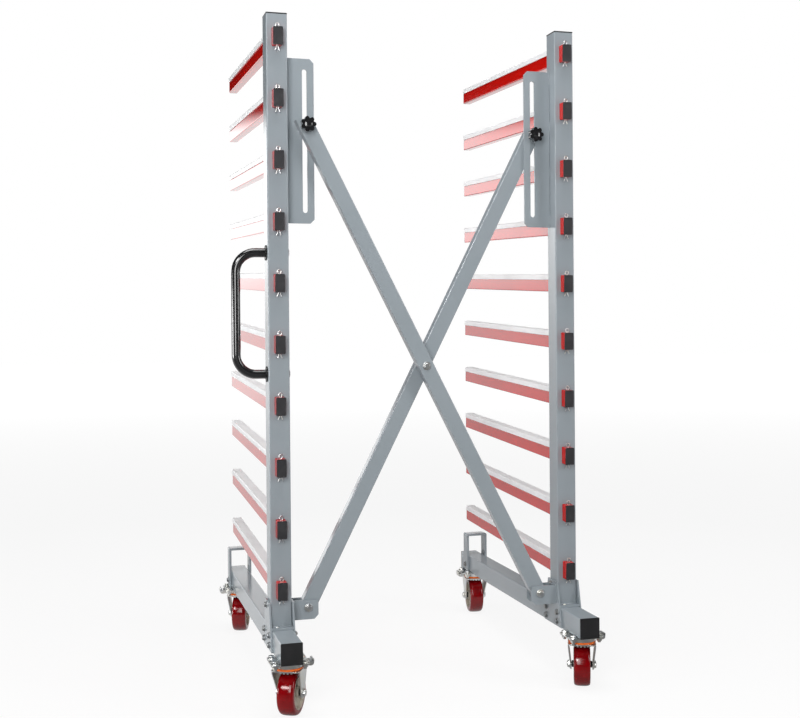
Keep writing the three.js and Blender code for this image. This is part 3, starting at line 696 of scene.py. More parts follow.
def windows(side):
    """One cutter for the ten windows of an upright."""
    reach = Vector((ARM_WIDTH / 2 + WINDOW_FIT, WINDOW_REACH, ARM_DEPTH / 2 + WINDOW_FIT))
    blank = block("window", -reach, reach)
    edit(blank, "EDGE", runs(Y), bpy.ops.mesh.bevel, offset=ARM_CORNER, segments=2)
    cutters = [twin(blank, "cutter", arm_place(side, level)) for level in LEVELS]
    discard(blank)
    return unite("windows", cutters)


for side in SIDES:
    upright = block(side + "_upright_tube", *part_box(side + "_upright"))
    hollow(upright, Z, TUBE_CORNER, TUBE_WALL, TUBE_STEPS)
    smooth(carve(upright, windows(side)))
    dress(upright, GREY_COAT, side + "_frame", "grey_paint", side + "_upright")
    base = block(side + "_base_rail", *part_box(side + "_base_tube"))
    hollow(base, Y, TUBE_CORNER, TUBE_WALL, TUBE_STEPS)
    dress(smooth(base), GREY_COAT, side + "_frame", "grey_paint", side + "_base_tube")
    print(side, "upright", len(upright.data.polygons), "faces, base", len(base.data.polygons))

# %% [markdown]
# ## Welded plates, hoops, plugs and bars
#
# Brackets, slot plates, hoops and brace bars already have the right shape. A copy of the solid is
# merged, and a narrow bevel gives every edge the soft line that catches light on a painted part. The
# black plugs are drawn anew: a square lip that covers the end of the tube, on a neck inside its wall.

# %% Plates, hoops and plugs
SOFT_EDGES = (("foot_bracket", 1.1 * MM), ("slot_plate", 0.9 * MM), ("rear_hoop", 1.6 * MM))
CAPS = (("upright_cap", Z, True), ("base_front_cap", Y, False), ("base_rear_cap", Y, True))
CAP_LIP, CAP_CORNER, LIP_EDGE, NECK_EDGE = 3.5 * MM, 1.6 * MM, 0.6 * MM, 1 * MM


def tube_plug(node, axis, far):
    """A plug for the near or far end of a tube: a square lip, and a neck inside the wall."""
    low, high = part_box(node)
    inward = -1 if far else 1
    lip_ends, neck_ends = [low.copy(), high.copy()], [low.copy(), high.copy()]
    lip_ends[not far][axis] = lip_ends[far][axis] + inward * CAP_LIP
    for other in {X, Y, Z} - {axis}:
        neck_ends[0][other] += TUBE_WALL + WINDOW_FIT
        neck_ends[1][other] -= TUBE_WALL + WINDOW_FIT
    neck_ends[far][axis] += inward * CAP_LIP / 2
    lip, neck = block("lip", *lip_ends), block("neck", *neck_ends)
    edit(lip, "EDGE", runs(axis), bpy.ops.mesh.bevel, offset=CAP_CORNER, segments=4)
    return unite(node + "_plug", [soften(lip, LIP_EDGE), soften(neck, NECK_EDGE)])


for side in SIDES:
    for part, width in SOFT_EDGES:
        node = f"{side}_{part}"
        piece = soften(solid_copy(node, node + "_soft"), width, 3)
        dress(piece, GREY_COAT, side + "_frame", "grey_paint", node)
    for part, axis, far in CAPS:
        node = f"{side}_{part}"
        dress(tube_plug(node, axis, far), BLACK_CAP, side + "_frame", "black_plastic", node)
    print(side, "plates and hoop softened, plugs made")

# %% Brace bars
BAR_CORNER, BAR_EDGE = 3 * MM, 0.4 * MM
LONG_EDGE, NEAR = 1.0, 0.1 * MM


def long_outer_edge(node):
    """Test for the four long outside edges of a brace bar."""
    low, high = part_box(node)

    def test(start, end):
        outside = min(abs(start.y - low.y), abs(start.y - high.y)) < NEAR
        return outside and (end - start).length > LONG_EDGE and abs(start.y - end.y) < NEAR

    return test


for body in ("front_bar", "rear_bar"):
    node = body.replace("bar", "brace_bar")
    bar = solid_copy(node, node + "_tube")
    edit(bar, "EDGE", long_outer_edge(node), bpy.ops.mesh.bevel, offset=BAR_CORNER, segments=4)
    dress(soften(bar, BAR_EDGE), GREY_COAT, body, "grey_paint", node)
    print(node, len(bar.data.polygons), "faces")

# %% [markdown]
# ## Arms
#
# Each arm is a red tube with a pale cover strip snapped over its top behind the upright, a black plug in
# each end, and a split pin through the stub that keeps it from sliding back. One set is drawn in the
# arm's own frame, with Y along the arm, and copied to the twenty places.

# %% Arm template
UPRIGHT_HALF, STUB_REACH, ARM_REACH = 30 * MM, 24 * MM, 816 * MM
STUB_END = -(UPRIGHT_HALF + STUB_REACH) / math.cos(ARM_RISE)
ARM_END = (UPRIGHT_HALF + ARM_REACH) / math.cos(ARM_RISE)
COVER_FROM, COVER_SHORT = 36 * MM, 1 * MM
COVER_SKIRT, COVER_WALL, COVER_CORNER, COVER_EDGE = 14 * MM, 2.2 * MM, 3.5 * MM, 0.4 * MM
PLUG_LIP, PLUG_RIM, PLUG_DISH, PLUG_EDGE = 2.0 * MM, 1.8 * MM, 0.5 * MM, 0.25 * MM
half_width, half_depth = ARM_WIDTH / 2, ARM_DEPTH / 2

arm_tube = block("arm_tube", (-half_width, STUB_END, -half_depth), (half_width, ARM_END, half_depth))
smooth(hollow(arm_tube, Y, ARM_CORNER, ARM_WALL, 4))

strip_low = (-half_width - COVER, COVER_FROM, half_depth - COVER_SKIRT)
strip_high = (half_width + COVER, ARM_END - COVER_SHORT, half_depth + COVER)
arm_strip = block("arm_strip", strip_low, strip_high)
edit(arm_strip, "FACE", faces(Z, -1), bpy.ops.mesh.delete, type="FACE")
edit(arm_strip, "FACE", faces(Y), bpy.ops.mesh.delete, type="FACE")
is_top = lambda a, b: runs(Y)(a, b) and a.z > half_depth
edit(arm_strip, "EDGE", is_top, bpy.ops.mesh.bevel, offset=COVER_CORNER, segments=4)
soften(modify(arm_strip, "SOLIDIFY", thickness=COVER_WALL, offset=-1), COVER_EDGE)


def arm_plug(name, face, way, lip):
    """A plug whose lip covers the end of the tube, with a shallow dish in its face."""
    rim, tip = sorted((face, face + way * lip))
    plug = block(name, (-half_width, rim, -half_depth), (half_width, tip, half_depth))
    edit(plug, "EDGE", runs(Y), bpy.ops.mesh.bevel, offset=ARM_CORNER, segments=4)
    edit(plug, "FACE", faces(Y, way), bpy.ops.mesh.inset, thickness=PLUG_RIM, depth=0)
    is_dish = lambda middle, normal: faces(Y, way)(middle, normal) and middle.xz.length < 1 * MM
    edit(plug, "FACE", is_dish, bpy.ops.mesh.inset, thickness=PLUG_DISH, depth=-PLUG_DISH)
    return soften(plug, PLUG_EDGE)


front_plug = arm_plug("front_plug", STUB_END, -1, PLUG_LIP)
rear_plug = arm_plug("rear_plug", ARM_END, 1, PLUG_LIP / 2)
print("arm", round(ARM_END - STUB_END, 4), "m long")

# %% Split pin
PIN_FROM_UPRIGHT, PIN_WIRE = 11 * MM, 1.4 * MM
PIN_LEG = [(6.5, -12.5), (2.6, -4), (1.2, 2), (1.2, 25), (1.2, 52), (4.9, 55), (4.6, 60.5), (1.8, 62.8)]
pin_y = -UPRIGHT_HALF - PIN_FROM_UPRIGHT
right_leg = [(x, pin_y, z - half_depth) for x, z in in_mm(PIN_LEG)]
left_leg = [(-x, y, z) for x, y, z in reversed(right_leg)]
split_pin = wire("split_pin", right_leg + left_leg, PIN_WIRE)
print("split pin", len(split_pin.data.polygons), "faces")

# %% Twenty arms
ARM_SET = (
    (arm_tube, "tube", RED_COAT, "red_paint"),
    (arm_strip, "cover_strip", COVER_STRIP, None),
    (front_plug, "front_plug", GREY_PLUG, "black_plastic"),
    (rear_plug, "rear_plug", GREY_PLUG, "black_plastic"),
    (split_pin, "split_pin", ZINC, "zinc"),
)
for side in SIDES:
    for level in LEVELS:
        node = f"{side}_arm_{level:02d}"
        for template, part, finish, slot in ARM_SET:
            piece = twin(template, f"{node}_{part}", arm_place(side, level))
            stands_for = [node] if template is arm_tube else []
            dress(piece, finish, side + "_frame", slot, *stands_for)
discard(*(template for template, *_ in ARM_SET))
print("arms:", 2 * len(LEVELS))

# %% [markdown]
# ## Push handle
#
# The handle is a black tube bent twice. A circle is extruded along X, spun a quarter turn, extruded up,
# spun back and extruded to the upright again, which is how a tube bender makes it. A toothed washer
# bites the paint at each end, and a round-headed bolt comes through from the inner face.

# %% Push handle
HANDLE_RADIUS, HANDLE_SIDES = 13 * MM, 28
HANDLE_BEND, BEND_STEPS = 56 * MM, 12
WASHER_RADIUS = 22 * MM
low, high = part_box("push_handle")
grip_x = low.x + HANDLE_RADIUS
handle_y = (low.y + high.y) / 2
foot_z = (low.z + WASHER_RADIUS, high.z - WASHER_RADIUS)
print("handle feet at", [round(z, 4) for z in foot_z])
deselect()
start = {"location": (high.x, handle_y, foot_z[0]), "rotation": (0, math.pi / 2, 0)}
bpy.ops.mesh.primitive_circle_add(vertices=HANDLE_SIDES, radius=HANDLE_RADIUS, **start)
handle = named("push_handle_tube")
pick(handle, "VERT", everything)
straight = grip_x + HANDLE_BEND - high.x
bpy.ops.mesh.extrude_region_move(TRANSFORM_OT_translate={"value": (straight, 0, 0)})
bend = {"steps": BEND_STEPS, "angle": math.pi / 2, "axis": (0, -1, 0)}
bpy.ops.mesh.spin(center=(grip_x + HANDLE_BEND, handle_y, foot_z[0] + HANDLE_BEND), **bend)
rise = foot_z[1] - foot_z[0] - 2 * HANDLE_BEND
bpy.ops.mesh.extrude_region_move(TRANSFORM_OT_translate={"value": (0, 0, rise)})
bpy.ops.mesh.spin(center=(grip_x + HANDLE_BEND, handle_y, foot_z[1] - HANDLE_BEND), **bend)
bpy.ops.mesh.extrude_region_move(TRANSFORM_OT_translate={"value": (-straight, 0, 0)})
bpy.ops.mesh.select_all(action="DESELECT")
bpy.ops.mesh.select_non_manifold()
bpy.ops.mesh.fill_holes(sides=0)
smooth(face_out(handle))
dress(handle, BLACK_GRIP, "left_frame", "black_plastic", "push_handle")

# %% Handle washers and bolts
WASHER_TEETH, WASHER_DEPTH, WASHER_EDGE = 24, 2.2 * MM, 0.3 * MM
NOTCH = (0.84, 0.84, 1)
ROUND_HEAD = [(12.5, 0), (12.5, 2.4), (10.5, 4.6), (5, 6)]


def toothed_washer(name, place):
    """A thin disc whose rim points are drawn in by turns."""
    disc = rod(name, WASHER_RADIUS, (0, 0, 0), (0, 0, WASHER_DEPTH), 2 * WASHER_TEETH)
    step = math.pi / WASHER_TEETH

    def is_notch(point):
        return round((math.atan2(point.y, point.x) % (2 * math.pi)) / step) % 2 == 1

    edit(disc, "VERT", is_notch, bpy.ops.transform.resize, value=NOTCH, center_override=(0, 0, 0))
    return soften(moved(disc, place), WASHER_EDGE)


round_head = smooth(turned("round_head", in_mm(ROUND_HEAD), 32))
inner_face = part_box("left_upright")[1].x
for foot, z in zip(("low", "high"), foot_z):
    washer = toothed_washer(f"handle_{foot}_washer", aimed((high.x, handle_y, z), (-1, 0, 0)))
    dress(washer, BLACKENED, "left_frame", "black_plastic")
    head = twin(round_head, f"handle_{foot}_bolt", aimed((inner_face, handle_y, z), (1, 0, 0)))
    dress(head, BLACK_GRIP, "left_frame", "black_plastic")
discard(round_head)
print("handle", len(handle.data.polygons), "faces")

# %% [markdown]
# ## Bolts
#
# A hexagon bolt is a head with a turned-off chamfer, a washer, and at the far end a nut with a little
# thread showing. One set is drawn on the Z axis and sized to each place.


# %% Bolts
SHANK = 6 * MM
WASHER_SHARE = 0.2
PIVOT_HEAD, PIVOT_DEPTH, PIVOT_THREAD = 9.5 * MM, 6.3 * MM, 1 * MM
SPACER_RADIUS, SPACER_FIT = 12 * MM, 0.3 * MM


def hex_head(name, radius, depth, washer=True, thread=0.0):
    """A hexagon head or nut on the Z axis, on its washer, with some thread past it. Its other sizes are
    shares of the radius."""
    parts = []
    seat = 0.0
    if washer:
        seat = WASHER_SHARE * radius
        ring = [(1.28 * radius, 0), (1.28 * radius, 0.7 * seat), (1.2 * radius, seat)]
        parts.append(turned("washer", ring, 32))
    chamfer = 0.13 * radius
    head = rod("hex", radius, (0, 0, seat), (0, 0, seat + depth - chamfer), 6)
    edit(head, "FACE", faces(Z, 1), bpy.ops.mesh.inset, thickness=0.16 * radius, depth=chamfer)
    parts.append(soften(head, 0.05 * radius))
    if thread:
        tip = seat + depth + thread
        end = [(0.55 * radius, seat), (0.55 * radius, tip - 0.1 * radius), (0.45 * radius, tip)]
        parts.append(turned("thread", end, 20))
    return smooth(unite(name, parts))


def bolt_along_y(node, body):
    """A bolt from front to rear, where its solid is."""
    low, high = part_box(node)
    middle = (low + high) / 2
    reach = PIVOT_DEPTH + WASHER_SHARE * PIVOT_HEAD
    start, end = ((middle.x, y, middle.z) for y in (low.y + reach, high.y - reach))
    head = moved(hex_head("head", PIVOT_HEAD, PIVOT_DEPTH), aimed(start, (0, -1, 0)))
    nut = hex_head("nut", PIVOT_HEAD, PIVOT_DEPTH - PIVOT_THREAD, True, PIVOT_THREAD)
    parts = [head, moved(nut, aimed(end, (0, 1, 0))), smooth(rod("shank", SHANK, start, end))]
    dress(unite(node + "_set", parts), ZINC, body, "zinc", node)


bolt_along_y("left_foot_bolt", "left_frame")
bolt_along_y("right_foot_bolt", "right_frame")
bolt_along_y("cross_bolt", "rear_bar")
bar_rear, bar_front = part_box("front_brace_bar")[1].y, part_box("rear_brace_bar")[0].y
cross_at = Vector(JOINTS["brace_cross"]["pos_m"])
gap = [(cross_at.x, y, cross_at.z) for y in (bar_rear + SPACER_FIT, bar_front - SPACER_FIT)]
dress(smooth(rod("cross_spacer", SPACER_RADIUS, *gap, sides=32)), ZINC, "rear_bar", "zinc")
print("pivot bolts made")

# %% Bracket and hoop bolts
BRACKET_BOLTS = [(-3, 201), (79, 201), (-3, 174), (79, 174), (42, 278)]
CHEEK, HOOP_BOLT_HEIGHT = 5.3 * MM, 184 * MM
SMALL_HEAD, SMALL_NUT = (7.5 * MM, 5 * MM), (7.5 * MM, 5.5 * MM, True, 2.5 * MM)
DOME = [(4.8, 0), (4.6, 1.1), (3.6, 2.2), (1.8, 2.9), (0.3, 3.1)]
SCREW_PLACE = Vector((-13, -9, 0)) * MM
small_head = hex_head("small_head", *SMALL_HEAD)
small_nut = hex_head("small_nut", *SMALL_NUT)
seat_screw = smooth(turned("seat_screw", in_mm(DOME), 24))
for side in SIDES:
    foot = Vector((middle_of(side + "_upright").x, *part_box(side + "_upright")[0].yz))
    tube_low, tube_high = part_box(side + "_base_tube")
    leg_low, leg_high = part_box(side + "_rear_hoop")
    bracket = [(tube_low.x - CHEEK, tube_high.x + CHEEK, foot.y + y, z) for y, z in in_mm(BRACKET_BOLTS)]
    hoop = (leg_low.x, leg_high.x, (leg_low.y + leg_high.y) / 2, HOOP_BOLT_HEIGHT)
    sets = []
    for left_x, right_x, y, z in (*bracket, hoop):
        sets.append(twin(small_head, "bolt_end", aimed((left_x, y, z), (-1, 0, 0))))
        sets.append(twin(small_nut, "nut_end", aimed((right_x, y, z), (1, 0, 0))))
    screw = twin(seat_screw, side + "_seat_screw", Matrix.Translation(foot + SCREW_PLACE))
    dress(screw, ZINC, side + "_frame", "zinc")
    # The frame bolts take the darker zinc copy, whose colour is painted shade.
    dress(unite(side + "_frame_bolts", sets), SHADED_ZINC, side + "_frame", "zinc")
discard(small_head, small_nut, seat_screw)
print("frame bolts made")

# %% [markdown]
# ## Star knobs
#
# Seven round lobes are joined to a disc, and a bevel runs over the whole rim as it would in a mould. The
# right knob has the longer neck, because its bar passes behind the plate and the neck meets the plate.


# %% Star knobs
LOBES, LOBE_RADIUS, LOBE_RING = 7, 6.3 * MM, 16.2 * MM
STAR_DEPTH, STAR_CORE, STAR_ROUND = 16 * MM, 17 * MM, 2.6 * MM
BOSS = [(11, -1), (10.4, 0.5), (7, 1.8), (3, 2.4)]
NECK_RADIUS, NECK_ROUND, NECK_LAP = 13 * MM, 0.8 * MM, 2 * MM
KNOB_NUT = (10.5 * MM, 5.5 * MM, True, 0.4 * MM)
NUT_REACH, STUD_SHORT = 8 * MM, 4 * MM
SEAT_FIT = 0.3 * MM


def star():
    """The knob's head on the Z axis, front at the top."""
    disc = rod("star", STAR_CORE, (0, 0, 0), (0, 0, STAR_DEPTH), 56)
    lobes = []
    for number in range(LOBES):
        angle = 2 * math.pi * number / LOBES
        spot = Vector((LOBE_RING * math.cos(angle), LOBE_RING * math.sin(angle), 0))
        lobes.append(rod("lobe", LOBE_RADIUS, spot, spot + Vector((0, 0, STAR_DEPTH)), 24))
    ring = unite("lobes", lobes)
    modify(disc, "BOOLEAN", object=ring, operation="UNION", solver="EXACT")
    discard(ring)
    soften(disc, STAR_ROUND, 4)
    boss = [(radius, STAR_DEPTH + height) for radius, height in in_mm(BOSS)]
    return unite("star", [disc, smooth(turned("boss", boss, 32))])


for side, seat in (("left", "front_brace_bar"), ("right", "right_slot_plate")):
    node = side + "_star_knob"
    low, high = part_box(node)
    hinge = Vector(JOINTS[side + "_knob_turn"]["pos_m"])
    head_rear = low.y + STAR_DEPTH
    seat_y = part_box(seat)[0].y - SEAT_FIT
    marks = (head_rear, head_rear - NECK_LAP, seat_y, high.y - NUT_REACH, high.y - STUD_SHORT)
    rear, lap, front, nut_seat, tip = ((hinge.x, y, hinge.z) for y in marks)
    head = moved(star(), aimed(rear, (0, -1, 0)))
    neck = soften(rod("neck", NECK_RADIUS, lap, front, sides=32), NECK_ROUND)
    knob = unite(node + "_moulding", [head, neck])
    dress(knob, BLACK_GRIP, side + "_knob", "black_plastic", node)
    nut = moved(hex_head("knob_nut", *KNOB_NUT), aimed(nut_seat, (0, 1, 0)))
    stud = smooth(rod("stud", SHANK, front, tip))
    dress(unite(side + "_knob_stud", [nut, stud]), ZINC, side + "_knob", "zinc")
print("star knobs made")

# %% [markdown]
# ## Casters
#
# A caster is a plate that stays with the base tube, a fork that swivels under it on a ball race with an
# orange seal, and a wheel on a bolt. The pieces are drawn once, about the swivel axis with the wheel
# trailing towards +Y, and copied to the four corners as each caster stands.

# %% Caster places
PLATE_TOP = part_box("left_front_caster_plate")[1].z
CASTERS = [f"{side}_{end}" for side in SIDES for end in ("front", "rear")]


def caster_places(name):
    """Matrices for what stays with the base tube, what swivels, and the wheel."""
    post = Vector(JOINTS[name + "_swivel"]["pos_m"])
    hub = Vector(JOINTS[name + "_roll"]["pos_m"])
    trail = hub - post
    ground = Matrix.Translation((post.x, post.y, 0))
    fixed = ground @ Matrix.Rotation(math.pi if name.endswith("rear") else 0, 4, "Z")
    swivel = ground @ Matrix.Rotation(math.atan2(-trail.x, trail.y), 4, "Z")
    axle = Matrix.Translation((0, trail.xy.length, hub.z)) @ Matrix.Rotation(math.pi / 2, 4, "Y")
    return fixed, swivel, swivel @ axle


swivel_at, hub_at = (Vector(JOINTS["left_front_" + way]["pos_m"]) for way in ("swivel", "roll"))
TRAIL = (hub_at - swivel_at).xy.length
WHEEL_RADIUS = hub_at.z
print("trail", round(TRAIL, 4), "wheel radius", round(WHEEL_RADIUS, 4))

# %% Caster plate, race and seal
PLATE_HALF, PLATE_DEPTH, PLATE_CORNER, PLATE_EDGE = (53 * MM, 45 * MM), 4 * MM, 8 * MM, 0.6 * MM
PLATE_BOLTS = [(-41, -31), (-41, 31), (41, -31), (41, 31)]
PLATE_BOLT, PLATE_NUT = (9.2 * MM, 6 * MM), (9.2 * MM, 7.4 * MM, True, 4.6 * MM)
EAR_LENGTH, EAR_SHEET = (48 * MM, 67 * MM), (13.3 * MM, 17.3 * MM)
EAR_DEPTH, EAR_LAP, EAR_ROUND, FINE_EDGE = 9.5 * MM, 0.5 * MM, 4.5 * MM, 0.4 * MM
LEVER_PIN, PIN_RADIUS, PIN_HALF, PIN_DROP = 62 * MM, 3 * MM, 19 * MM, 5 * MM
KING_RADIUS, KING_DEPTH = 11.5 * MM, 3 * MM
RACE = [(24, 152), (39.4, 152), (39.4, 150.4), (38.6, 149), (38.6, 141.2), (24, 141.2), (24, 152)]
SEAL = [(28, 134.8), (38.6, 134.8), (39.7, 135.5), (40, 138)]
SEAL += [(39.6, 140.4), (38.4, 141), (28, 141), (28, 134.8)]
under = PLATE_TOP - PLATE_DEPTH
pin_z = under - PIN_DROP
plate = block("plate", (-PLATE_HALF[X], -PLATE_HALF[Y], under), (*PLATE_HALF, PLATE_TOP))
edit(plate, "EDGE", runs(Z), bpy.ops.mesh.bevel, offset=PLATE_CORNER, segments=5)
soften(plate, PLATE_EDGE)
ears = []
for way in (-1, 1):
    inner, outer = sorted(way * y for y in EAR_SHEET)
    near, far = EAR_LENGTH
    ear = block("ear", (near, inner, under - EAR_DEPTH), (far, outer, under + EAR_LAP))
    is_low_end = lambda a, b: runs(Y)(a, b) and a.z < pin_z
    edit(ear, "EDGE", is_low_end, bpy.ops.mesh.bevel, offset=EAR_ROUND, segments=4)
    ears.append(soften(ear, FINE_EDGE))
pin_ends = ((LEVER_PIN, y, pin_z) for y in (-PIN_HALF, PIN_HALF))
pin = soften(rod("lever_pin", PIN_RADIUS, *pin_ends, 20), FINE_EDGE)
bolt, nut = hex_head("bolt", *PLATE_BOLT), hex_head("nut", *PLATE_NUT)
studs = []
for x, y in in_mm(PLATE_BOLTS):
    studs.append(twin(bolt, "bolt_end", aimed((x, y, PLATE_TOP), (0, 0, 1))))
    studs.append(twin(nut, "nut_end", aimed((x, y, under), (0, 0, -1))))
discard(bolt, nut)
king_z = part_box("left_front_caster_plate")[0].z + KING_DEPTH
king_nut = hex_head("king_nut", KING_RADIUS, KING_DEPTH, False)
studs.append(moved(king_nut, aimed((0, 0, king_z), (0, 0, -1))))
studs.append(smooth(rod("king_pin", SHANK, (0, 0, king_z - KING_DEPTH / 2), (0, 0, under))))
race = smooth(turned("race", in_mm(RACE)))
caster_plate = unite("caster_plate", [plate, race, *ears, pin, *studs])
seal = smooth(turned("seal", in_mm(SEAL), 56))
print("caster plate", len(caster_plate.data.polygons), "faces")

# %% Swivel lock lever
LEVER_PATH = [(45, 141.4), (54, 141.4), (60, 140.6), (64.6, 141.4), (67, 143.8), (68, 147.4)]
LEVER_PATH += [(68.5, 151), (68.6, 154.4), (68.3, 156.4), (67, 157.9)]
LEVER_PATH += [(65, 158), (63.7, 156.6), (64, 155)]
LEVER_WIDTH, LEVER_SHEET, LEVER_EDGE = 26 * MM, 2.4 * MM, 0.5 * MM
BARREL = [(6.6, -12.6), (6.6, 12.6), (3.5, 12.6), (3.5, -12.6), (6.6, -12.6)]
lever_strip = soften(folded_strip("strip", in_mm(LEVER_PATH), LEVER_WIDTH, LEVER_SHEET), LEVER_EDGE)
barrel = moved(turned("barrel", in_mm(BARREL), 28), aimed((LEVER_PIN, 0, pin_z), (0, 1, 0)))
lever = unite("lever", [lever_strip, smooth(barrel)])
print("lever", len(lever.data.polygons), "faces")

# %% Fork and lock ring
CROWN_TOP, CROWN_UNDER, CROWN_CORNER, CROWN_RIM = 134.2 * MM, 130.6 * MM, 12 * MM, 1 * MM
FORK_INSIDE, FORK_SHEET, FORK_SPLAY, FORK_EDGE = 30.4 * MM, 3.4 * MM, 7.2 * MM, 0.8 * MM
FORK_FRONT, FORK_REAR, REAR_SHORT = -34 * MM, 40 * MM, 2 * MM
EYE_RADIUS, LEG_HEAD = 16 * MM, 8 * MM
DISH = (34.5 * MM, 34.8 * MM, 34.5 * MM)
RING = [(26, 131), (31, 131), (31, 129), (26, 129), (26, 131)]
RING_TEETH, TOOTH_DEPTH, TOOTH_TAPER, TOOTH_EDGE = 18, 3.6 * MM, (0.985, 0.985, 1), 0.5 * MM
AXLE_HEAD, AXLE_NUT = (11 * MM, 6.6 * MM, True, 1.2 * MM), (11 * MM, 6 * MM)


def fork_leg(way):
    """A leg: the hull of the eye round the axle and the crown's edge, splayed at the top."""
    near, far = sorted((way * FORK_INSIDE, way * (FORK_INSIDE + FORK_SHEET)))
    eye = rod("leg", EYE_RADIUS, (near, TRAIL, WHEEL_RADIUS), (far, TRAIL, WHEEL_RADIUS), 32)
    low = (near, FORK_FRONT + CROWN_CORNER, CROWN_UNDER - LEG_HEAD)
    leg = unite("leg", [eye, block("crown_edge", low, (far, FORK_REAR, CROWN_TOP - CROWN_RIM))])
    edit(leg, "VERT", everything, bpy.ops.mesh.convex_hull)
    edit(leg, "FACE", everything, bpy.ops.mesh.dissolve_limited, angle_limit=math.radians(2))
    is_top = lambda point: point.z > CROWN_UNDER - LEG_HEAD - 1 * MM
    edit(leg, "VERT", is_top, bpy.ops.transform.translate, value=(way * FORK_SPLAY, 0, 0))
    return soften(leg, FORK_EDGE)


half = FORK_INSIDE + FORK_SHEET + FORK_SPLAY
crown = block("crown", (-half, FORK_FRONT, CROWN_UNDER), (half, FORK_REAR - REAR_SHORT, CROWN_TOP))
is_corner = lambda a, b: runs(Z)(a, b) and a.y < 0
edit(crown, "EDGE", is_corner, bpy.ops.mesh.bevel, offset=CROWN_CORNER, segments=6)
is_rim = lambda a, b: min(a.z, b.z) > CROWN_TOP - CROWN_RIM
edit(crown, "EDGE", is_rim, bpy.ops.mesh.bevel, offset=CROWN_RIM, segments=3)
soften(crown, FINE_EDGE)
dish_heights = (CROWN_UNDER, CROWN_UNDER + CROWN_RIM, CROWN_TOP)
dish = smooth(turned("dish", list(zip(DISH, dish_heights)), 56))
lock_ring = turned("lock_ring", in_mm(RING), 2 * RING_TEETH)


def is_tooth(middle, normal):
    step = math.pi / RING_TEETH
    return normal.z < -0.9 and int((math.atan2(middle.y, middle.x) % (2 * math.pi)) / step) % 2 == 0


pick(lock_ring, "FACE", is_tooth)
bpy.ops.mesh.extrude_faces_move(TRANSFORM_OT_shrink_fatten={"value": TOOTH_DEPTH})
bpy.ops.transform.resize(value=TOOTH_TAPER, center_override=(0, 0, 0))
bpy.ops.object.mode_set(mode="OBJECT")
soften(lock_ring, TOOTH_EDGE)
left_end, right_end = ((way * (FORK_INSIDE + FORK_SHEET), TRAIL, WHEEL_RADIUS) for way in (-1, 1))
axle_parts = [
    moved(hex_head("axle_left", *AXLE_HEAD), aimed(left_end, (-1, 0, 0))),
    moved(hex_head("axle_right", *AXLE_NUT), aimed(right_end, (1, 0, 0))),
    smooth(rod("axle", SHANK, left_end, right_end)),
]
fork = unite("fork", [crown, dish, fork_leg(-1), fork_leg(1), lock_ring, *axle_parts])
print("fork", len(fork.data.polygons), "faces")

# %% Wheel
TREAD = [(46.5, 24), (54, 24), (57.6, 23), (60, 20.6), (61.6, 16.4), (62.3, 10), (62.5, 4)]
CORE = [(46.4, 24.4), (44.6, 24.4), (43.2, 22.6), (41.6, 15.5), (22, 13.5), (17.5, 17)]
CORE += [(16.4, 24.2), (9.9, 24.4)]
SPACER = [(9.8, 29.2), (9.2, 29.8), (6.5, 29.8)]


def both_faces(half):
    """Profile of a ring from one half of it, mirrored and closed."""
    points = in_mm(half)
    mirrored = [(radius, -height) for radius, height in reversed(points)]
    return [*points, *mirrored, points[0]]


tread = smooth(turned("tread", both_faces(TREAD), 72))
core = smooth(turned("core", both_faces(CORE), 56))
spacer = smooth(turned("spacer", both_faces(SPACER), 32))
print("wheel", len(tread.data.polygons) + len(core.data.polygons), "faces")

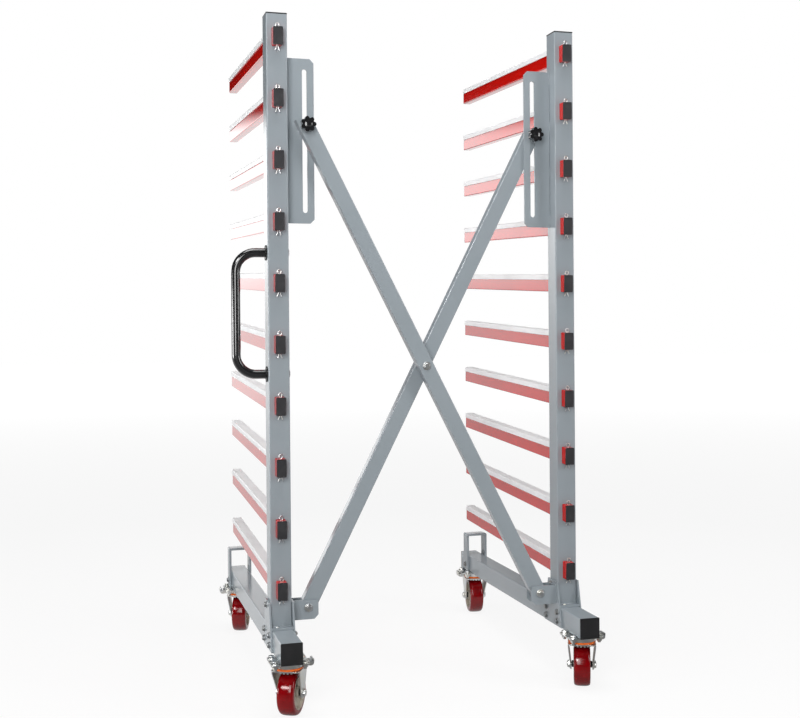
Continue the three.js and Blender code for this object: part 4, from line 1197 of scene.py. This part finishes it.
# %% Four casters
for name in CASTERS:
    side = name.split("_")[0]
    fixed, swivel, axle = caster_places(name)
    for template, part, finish, body, slot, place, nodes in (
        (caster_plate, "caster_top", ZINC, side + "_frame", "zinc", fixed, ["_caster_plate"]),
        (seal, "race_seal", ORANGE_SEAL, side + "_frame", None, fixed, []),
        (lever, "lock_lever", ZINC, name + "_lever", "zinc", fixed, ["_swivel_lock"]),
        (fork, "swivel_fork", ZINC, name + "_fork", "zinc", swivel, ["_caster_fork"]),
        (tread, "wheel_tread", RED_TREAD, name + "_tread", "red_tread", axle, ["_wheel"]),
        (core, "wheel_core", CREAM_CORE, name + "_tread", None, axle, []),
        (spacer, "wheel_spacer", BLACKENED, name + "_tread", None, axle, []),
    ):
        piece = twin(template, f"{name}_{part}", place)
        dress(piece, finish, body, slot, *(name + node for node in nodes))
discard(caster_plate, seal, lever, fork, tread, core, spacer)
print("casters:", len(CASTERS))

# %% [markdown]
# ## Welds
#
# The slot plates are stitched to the uprights, and each upright is welded to its bracket's seat. A bead
# is a wire that swells and narrows as the puddle froze, laid half into the corner.

# %% Welds
RIPPLE, RIPPLE_SWELL, END_SWELL = 2.2 * MM, (1.05, 0.82), 0.55
STITCHES, STITCH_LENGTH, STITCH_RADIUS = (0.02, 0.32, 0.62, 0.92), 28 * MM, 2.2 * MM
SEAT_BEAD_RADIUS, SEAT_BEAD_SHORT = 2.4 * MM, 4 * MM


def bead(start, end, radius):
    """A weld bead between two points, with a ripple every few millimetres."""
    start, end = Vector(start), Vector(end)
    count = max(6, round((end - start).length / RIPPLE))
    points = [start.lerp(end, step / (count - 1)) for step in range(count)]
    swell = [END_SWELL if step in (0, count - 1) else RIPPLE_SWELL[step % 2] for step in range(count)]
    return wire("bead", points, radius, swell, 2)


for side, way in (("left", 1), ("right", -1)):
    plate_low, plate_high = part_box(side + "_slot_plate")
    low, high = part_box(side + "_upright")
    inner_x = (high if way > 0 else low).x
    beads = []
    for share in STITCHES:
        z = plate_low.z + share * (plate_high.z - plate_low.z)
        for y in (plate_low.y, plate_high.y):
            beads.append(bead((inner_x, y, z), (inner_x, y, z + STITCH_LENGTH), STITCH_RADIUS))
    for y in (low.y, high.y):
        ends = ((x, y, low.z) for x in (low.x + SEAT_BEAD_SHORT, high.x - SEAT_BEAD_SHORT))
        beads.append(bead(*ends, SEAT_BEAD_RADIUS))
    dress(unite(side + "_weld_beads", beads), GREY_COAT, side + "_frame", "grey_paint")
print("weld beads laid")
